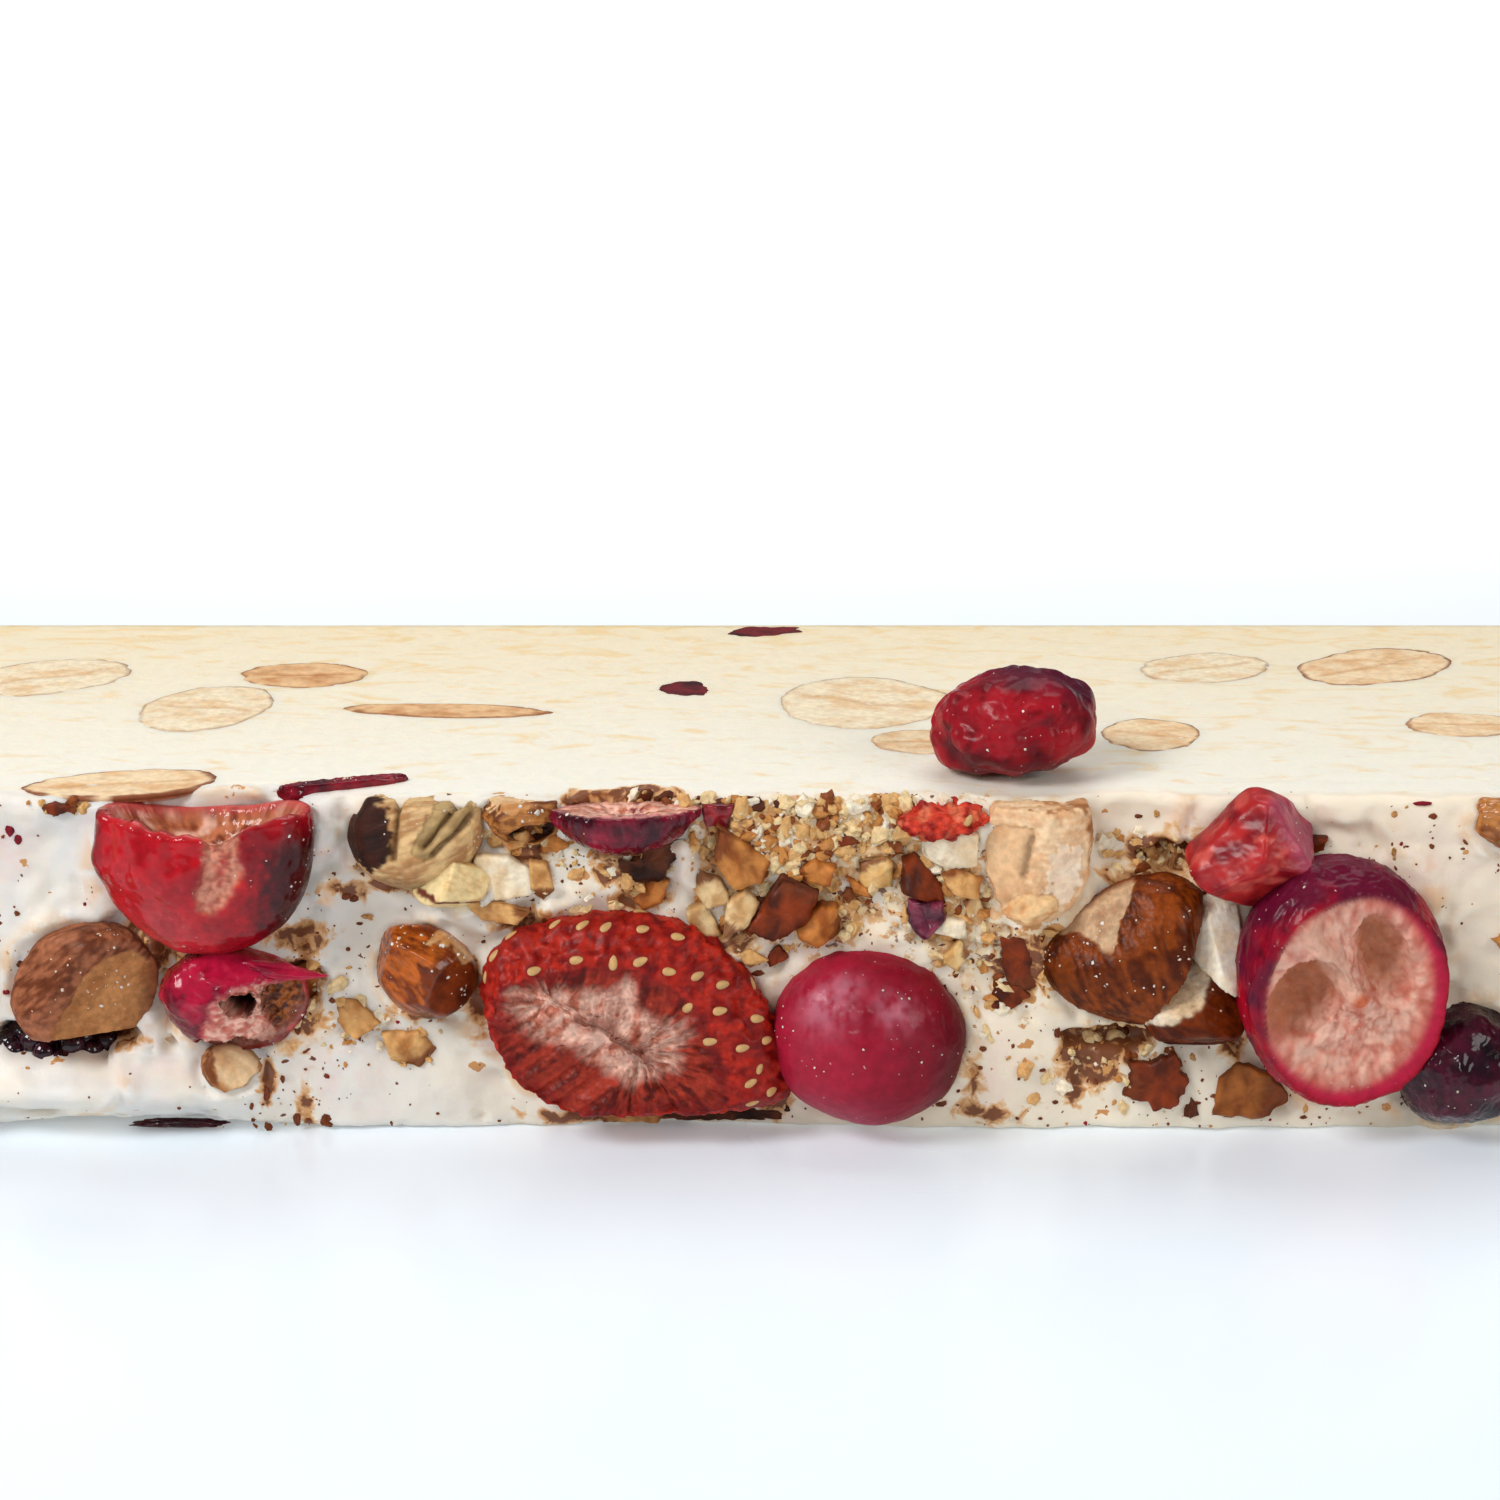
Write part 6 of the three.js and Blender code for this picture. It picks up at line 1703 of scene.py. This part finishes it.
# pale grains resting on the pieces: piece, how many, size
powdered = [
    ("cranberry_cup_red", 46, 0.1), ("almond_left_piece", 34, 0.12), ("almond_big_piece", 46, 0.1),
    ("cranberry_round", 30, 0.08), ("cranberry_boat_dark", 16, 0.12), ("almond_honey_piece", 34, 0.12),
    ("nut_honey_piece", 12, 0.14), ("fruit_chunk_candied", 8, 0.1), ("cranberry_on_top_skin", 12, 0.09),
    ("cranberry_strip_skin", 10, 0.12), ("almond_small_piece", 18, 0.08), ("nut_layered_piece", 14, 0.1),
    ("cranberry_dark_skin", 12, 0.08), ("cranberry_torn_open", 10, 0.07), ("cranberry_half", 10, 0.08),
]
sugarFinish = dict(nutFinish, soft=0.3, softColour=(1, 0.9, 0.8), wet=0.25, dry=0.45)
crumbSkin = foodFinish("crumbs", dict(nutFinish, mottle=0.15, mottleScale=3))
fleckSkin = foodFinish("flecks", dict(nutFinish, soft=0.05, mottle=0.2))
sugarSkin = foodFinish("sugar_grains", sugarFinish)


# Many small bits in one mesh, each turned, squashed and roughened its own way.
strewnLook = dict(rough=0.28, stretch=(0.7, 1.3), shade=(0.88, 1.08))


def strewn(name, spots, normals, sizes, colours, seed, skin, squash, wet=0.4, flat=False):
    random = np.random.default_rng(seed)
    shape, faces = ball(2)
    count = len(spots)
    axes = random.normal(size=(count, 3, 3))
    if normals is not None:
        axes[:, 2] = normals
        axes[:, 0] -= normals * (axes[:, 0] * normals).sum(1, keepdims=True)
    third = axes[:, 2] / np.linalg.norm(axes[:, 2], axis=1, keepdims=True)
    first = axes[:, 0] - third * (axes[:, 0] * third).sum(1, keepdims=True)
    first /= np.linalg.norm(first, axis=1, keepdims=True)
    ways = np.stack([first, np.cross(third, first), third], 1)
    rough = strewnLook["rough"]
    radial = 1 + random.uniform(-rough, rough, (count, len(shape), 1))
    stretch = sizes[:, None, None] * np.array(squash) * random.uniform(*strewnLook["stretch"], (count, 1, 3))
    points = np.einsum("nvi,nij->nvj", shape * radial * stretch, ways) + spots[:, None]
    faces = (faces + (np.arange(count) * len(shape))[:, None, None]).reshape(-1, 3)
    paint = np.repeat(colours, len(shape), axis=0)
    paint = paint * random.uniform(*strewnLook["shade"], (count * len(shape), 1))
    meshPiece(name, points.reshape(-1, 3), faces, skin, ("nougat",), paint, wet, None, flat)


def makeCrumbs():
    look, fleck = crumbLook, smallFlecks
    random = np.random.default_rng(141)
    x, z = [], []
    for middleX, middleZ, wide, tall, many in crumbZones:
        x.append(middleX + wide * np.clip(random.normal(0, 0.5, many), -1, 1))
        z.append(middleZ + tall * np.clip(random.normal(0, 0.5, many), -1, 1))
    x, z = np.concatenate(x), np.clip(np.concatenate(z), look["foot"], barHeight - look["top"])
    sizes = look["least"] + look["more"] * random.random(len(x)) ** 3
    spots = np.column_stack([x, faceY(x, z) + look["sunk"] * sizes, z])
    colours = np.array(crumbColours)[random.choice(len(crumbColours), len(x), p=crumbShares)]
    strewn("nut_crumbs", spots, None, sizes, colours, 143, crumbSkin, (1.3, 1, 0.8), flat=True)
    # many small flat flecks of skin among the nut dust
    many, edge = fleck["many"], fleck["edge"]
    zones = np.array(dusty)[random.choice(len(dusty), many)]
    x, z = (zones[:, i] + zones[:, i + 2] * random.normal(0, fleck["spread"], many) for i in range(2))
    x, z = np.clip(x, edge - halfLength, halfLength - edge), np.clip(z, fleck["foot"], barHeight - edge)
    sizes = fleck["least"] + fleck["more"] * random.random(many) ** 2
    spots = np.column_stack([x, faceY(x, z), z])
    colours = np.array(list(fleckColours.values()))[random.choice(3, many, p=fleck["shares"])]
    away = random.normal(0, fleck["lean"], (many, 3)) + (0, -1, 0)
    strewn("skin_flecks_small", spots, away, sizes, colours, 145, fleckSkin, (1.3, 0.9, 0.3))


def makeFlecks():
    shape, faces = ball(4)
    bits = Joined()
    for number, (x, z, wide, tall, *kind) in enumerate(flecks):
        jag = 1 + 0.35 * layered(shape * 1.7 + 7 * number, 147, 2)
        place = x, faceY(np.array([x]), np.array([z]))[0], z
        shade = smooth(noise(shape * 2 + number, 149), -0.2, 0.3)
        colour = fleckColours[kind[0] if kind else "brown"]
        paint = blend(colour, colour * 0.55, shade)
        bits.add(shape * jag[:, None] * (wide, 0.10, tall) + place, faces, paint)
    bits.piece("skin_flecks", fleckSkin, ("nougat",), "almond_skin", 0.5)


def makePowder():
    random = np.random.default_rng(151)
    spots, normals, sizes = [], [], []
    for name, many, size in powdered:
        mesh = bpy.data.objects[name].data
        data = np.empty(len(mesh.vertices) * 3)
        mesh.vertices.foreach_get("co", data)
        place = data.reshape(-1, 3) / mm
        mesh.vertex_normals.foreach_get("vector", data)
        way = data.reshape(-1, 3)
        good = np.flatnonzero((place[:, 1] < face - 0.3) | (place[:, 2] > barHeight))
        good = good[(way[good, 2] > -0.3) & (way[good, 1] < 0.2)]
        # they gather in small groups
        hubs = place[random.choice(good, max(2, many // 6))]
        near = ((place[good][:, None] - hubs) ** 2).sum(2).min(1)
        weight = np.exp(-near / 1.2) + 0.02
        pick = random.choice(good, many, p=weight / weight.sum())
        spots.append(place[pick])
        normals.append(way[pick])
        sizes.append(size * (0.35 + 0.8 * random.random(many) ** 2))
    spots, normals, sizes = np.vstack(spots), np.vstack(normals), np.concatenate(sizes)
    colours = blend((250, 240, 226), (226, 190, 150), random.random(len(spots)) ** 2)
    spots += normals * 0.02
    strewn("sugar_grains", spots, normals, sizes, colours, 153, sugarSkin, (1.1, 1, 0.7), wet=0.6)


makeCrumbs()
makeFlecks()
makePowder()
print("crumbs and powder")


# Table, light and camera

viewLook = dict(
    lens=75, film=36, down=17.821, back=223.38, up=91.52, rise=14.5 / 1500,
    table=tint(228, 240, 250), tableFar=tint(252, 253, 254), tableReach=4000, glow=0.85,
    sky=(0.98, 0.99, 1, 1), skyStrength=0.20,
)
# name, place, what it points at, size, power, colour
lamps = [
    ("window", (-330, -250, 360), (0, -10, 12), (200, 160), 1.75, (1, 1, 1)),
    ("top light", (40, 160, 420), (0, 0, 20), (360, 260), 0.78, (1, 1, 1)),
    ("side light", (330, -260, 200), (10, -20, 12), (200, 160), 0.5, (1, 0.97, 0.93)),
    ("front light", (-110, -330, 190), (0, -22, 14), (50, 36), 0.15, (1, 1, 1)),
]


def makeTable():
    look = viewLook
    reach = look["tableReach"]
    corners = np.array([(-reach, -reach, 0), (reach, -reach, 0), (reach, reach, 0), (-reach, reach, 0)])
    mesh = bpy.data.meshes.new("table")
    mesh.from_pydata((corners * mm).tolist(), [], [(0, 1, 2, 3)])
    finish = Finish("table", dict(roughness=0.22, specular=0.5))
    backward = finish.part(finish.place, 1)
    colour = finish.mixed(finish.step(backward, 20, 320), look["table"], look["tableFar"])
    # painted light: the table glows, faintly near the bar and strongly further back
    finish.feed(finish.shader.inputs["Emission Color"], look["tableFar"])
    glow = finish.step(backward, 20, 300, 0.15, look["glow"])
    finish.feed(finish.shader.inputs["Emission Strength"], glow)
    mesh.materials.append(finish.done(colour, finish.step(finish.grain(0.02, 2), 0.3, 0.7, 0.18, 0.28)))
    table = bpy.data.objects.new("table", mesh)
    bpy.context.scene.collection.objects.link(table)


def makeLamps():
    for name, at, toward, size, power, colour in lamps:
        lamp = bpy.data.lights.new(name, "AREA")
        lamp.shape = "RECTANGLE"
        lamp.size, lamp.size_y = size[0] * mm, size[1] * mm
        lamp.energy = power
        lamp.color = colour
        holder = bpy.data.objects.new(name, lamp)
        holder.location = np.array(at) * mm
        holder.rotation_euler = (Vector(toward) - Vector(at)).to_track_quat("-Z", "Y").to_euler()
        bpy.context.scene.collection.objects.link(holder)


def makeView():
    look = viewLook
    camera = bpy.data.objects.new("camera", bpy.data.cameras.new("camera"))
    bpy.context.scene.collection.objects.link(camera)
    camera.data.lens = look["lens"]
    camera.data.sensor_width = look["film"]
    camera.data.shift_y = look["rise"]
    camera.location = 0, -look["back"] * mm, look["up"] * mm
    camera.rotation_euler = math.radians(90 - look["down"]), 0, 0
    bpy.context.scene.camera = camera
    world = bpy.data.worlds.new("studio")
    world.use_nodes = True
    sky = world.node_tree.nodes["Background"].inputs
    sky["Color"].default_value, sky["Strength"].default_value = look["sky"], look["skyStrength"]
    bpy.context.scene.world = world
    bpy.context.scene.view_settings.view_transform = "Standard"


makeTable()
makeLamps()
makeView()
print("table, light and camera")
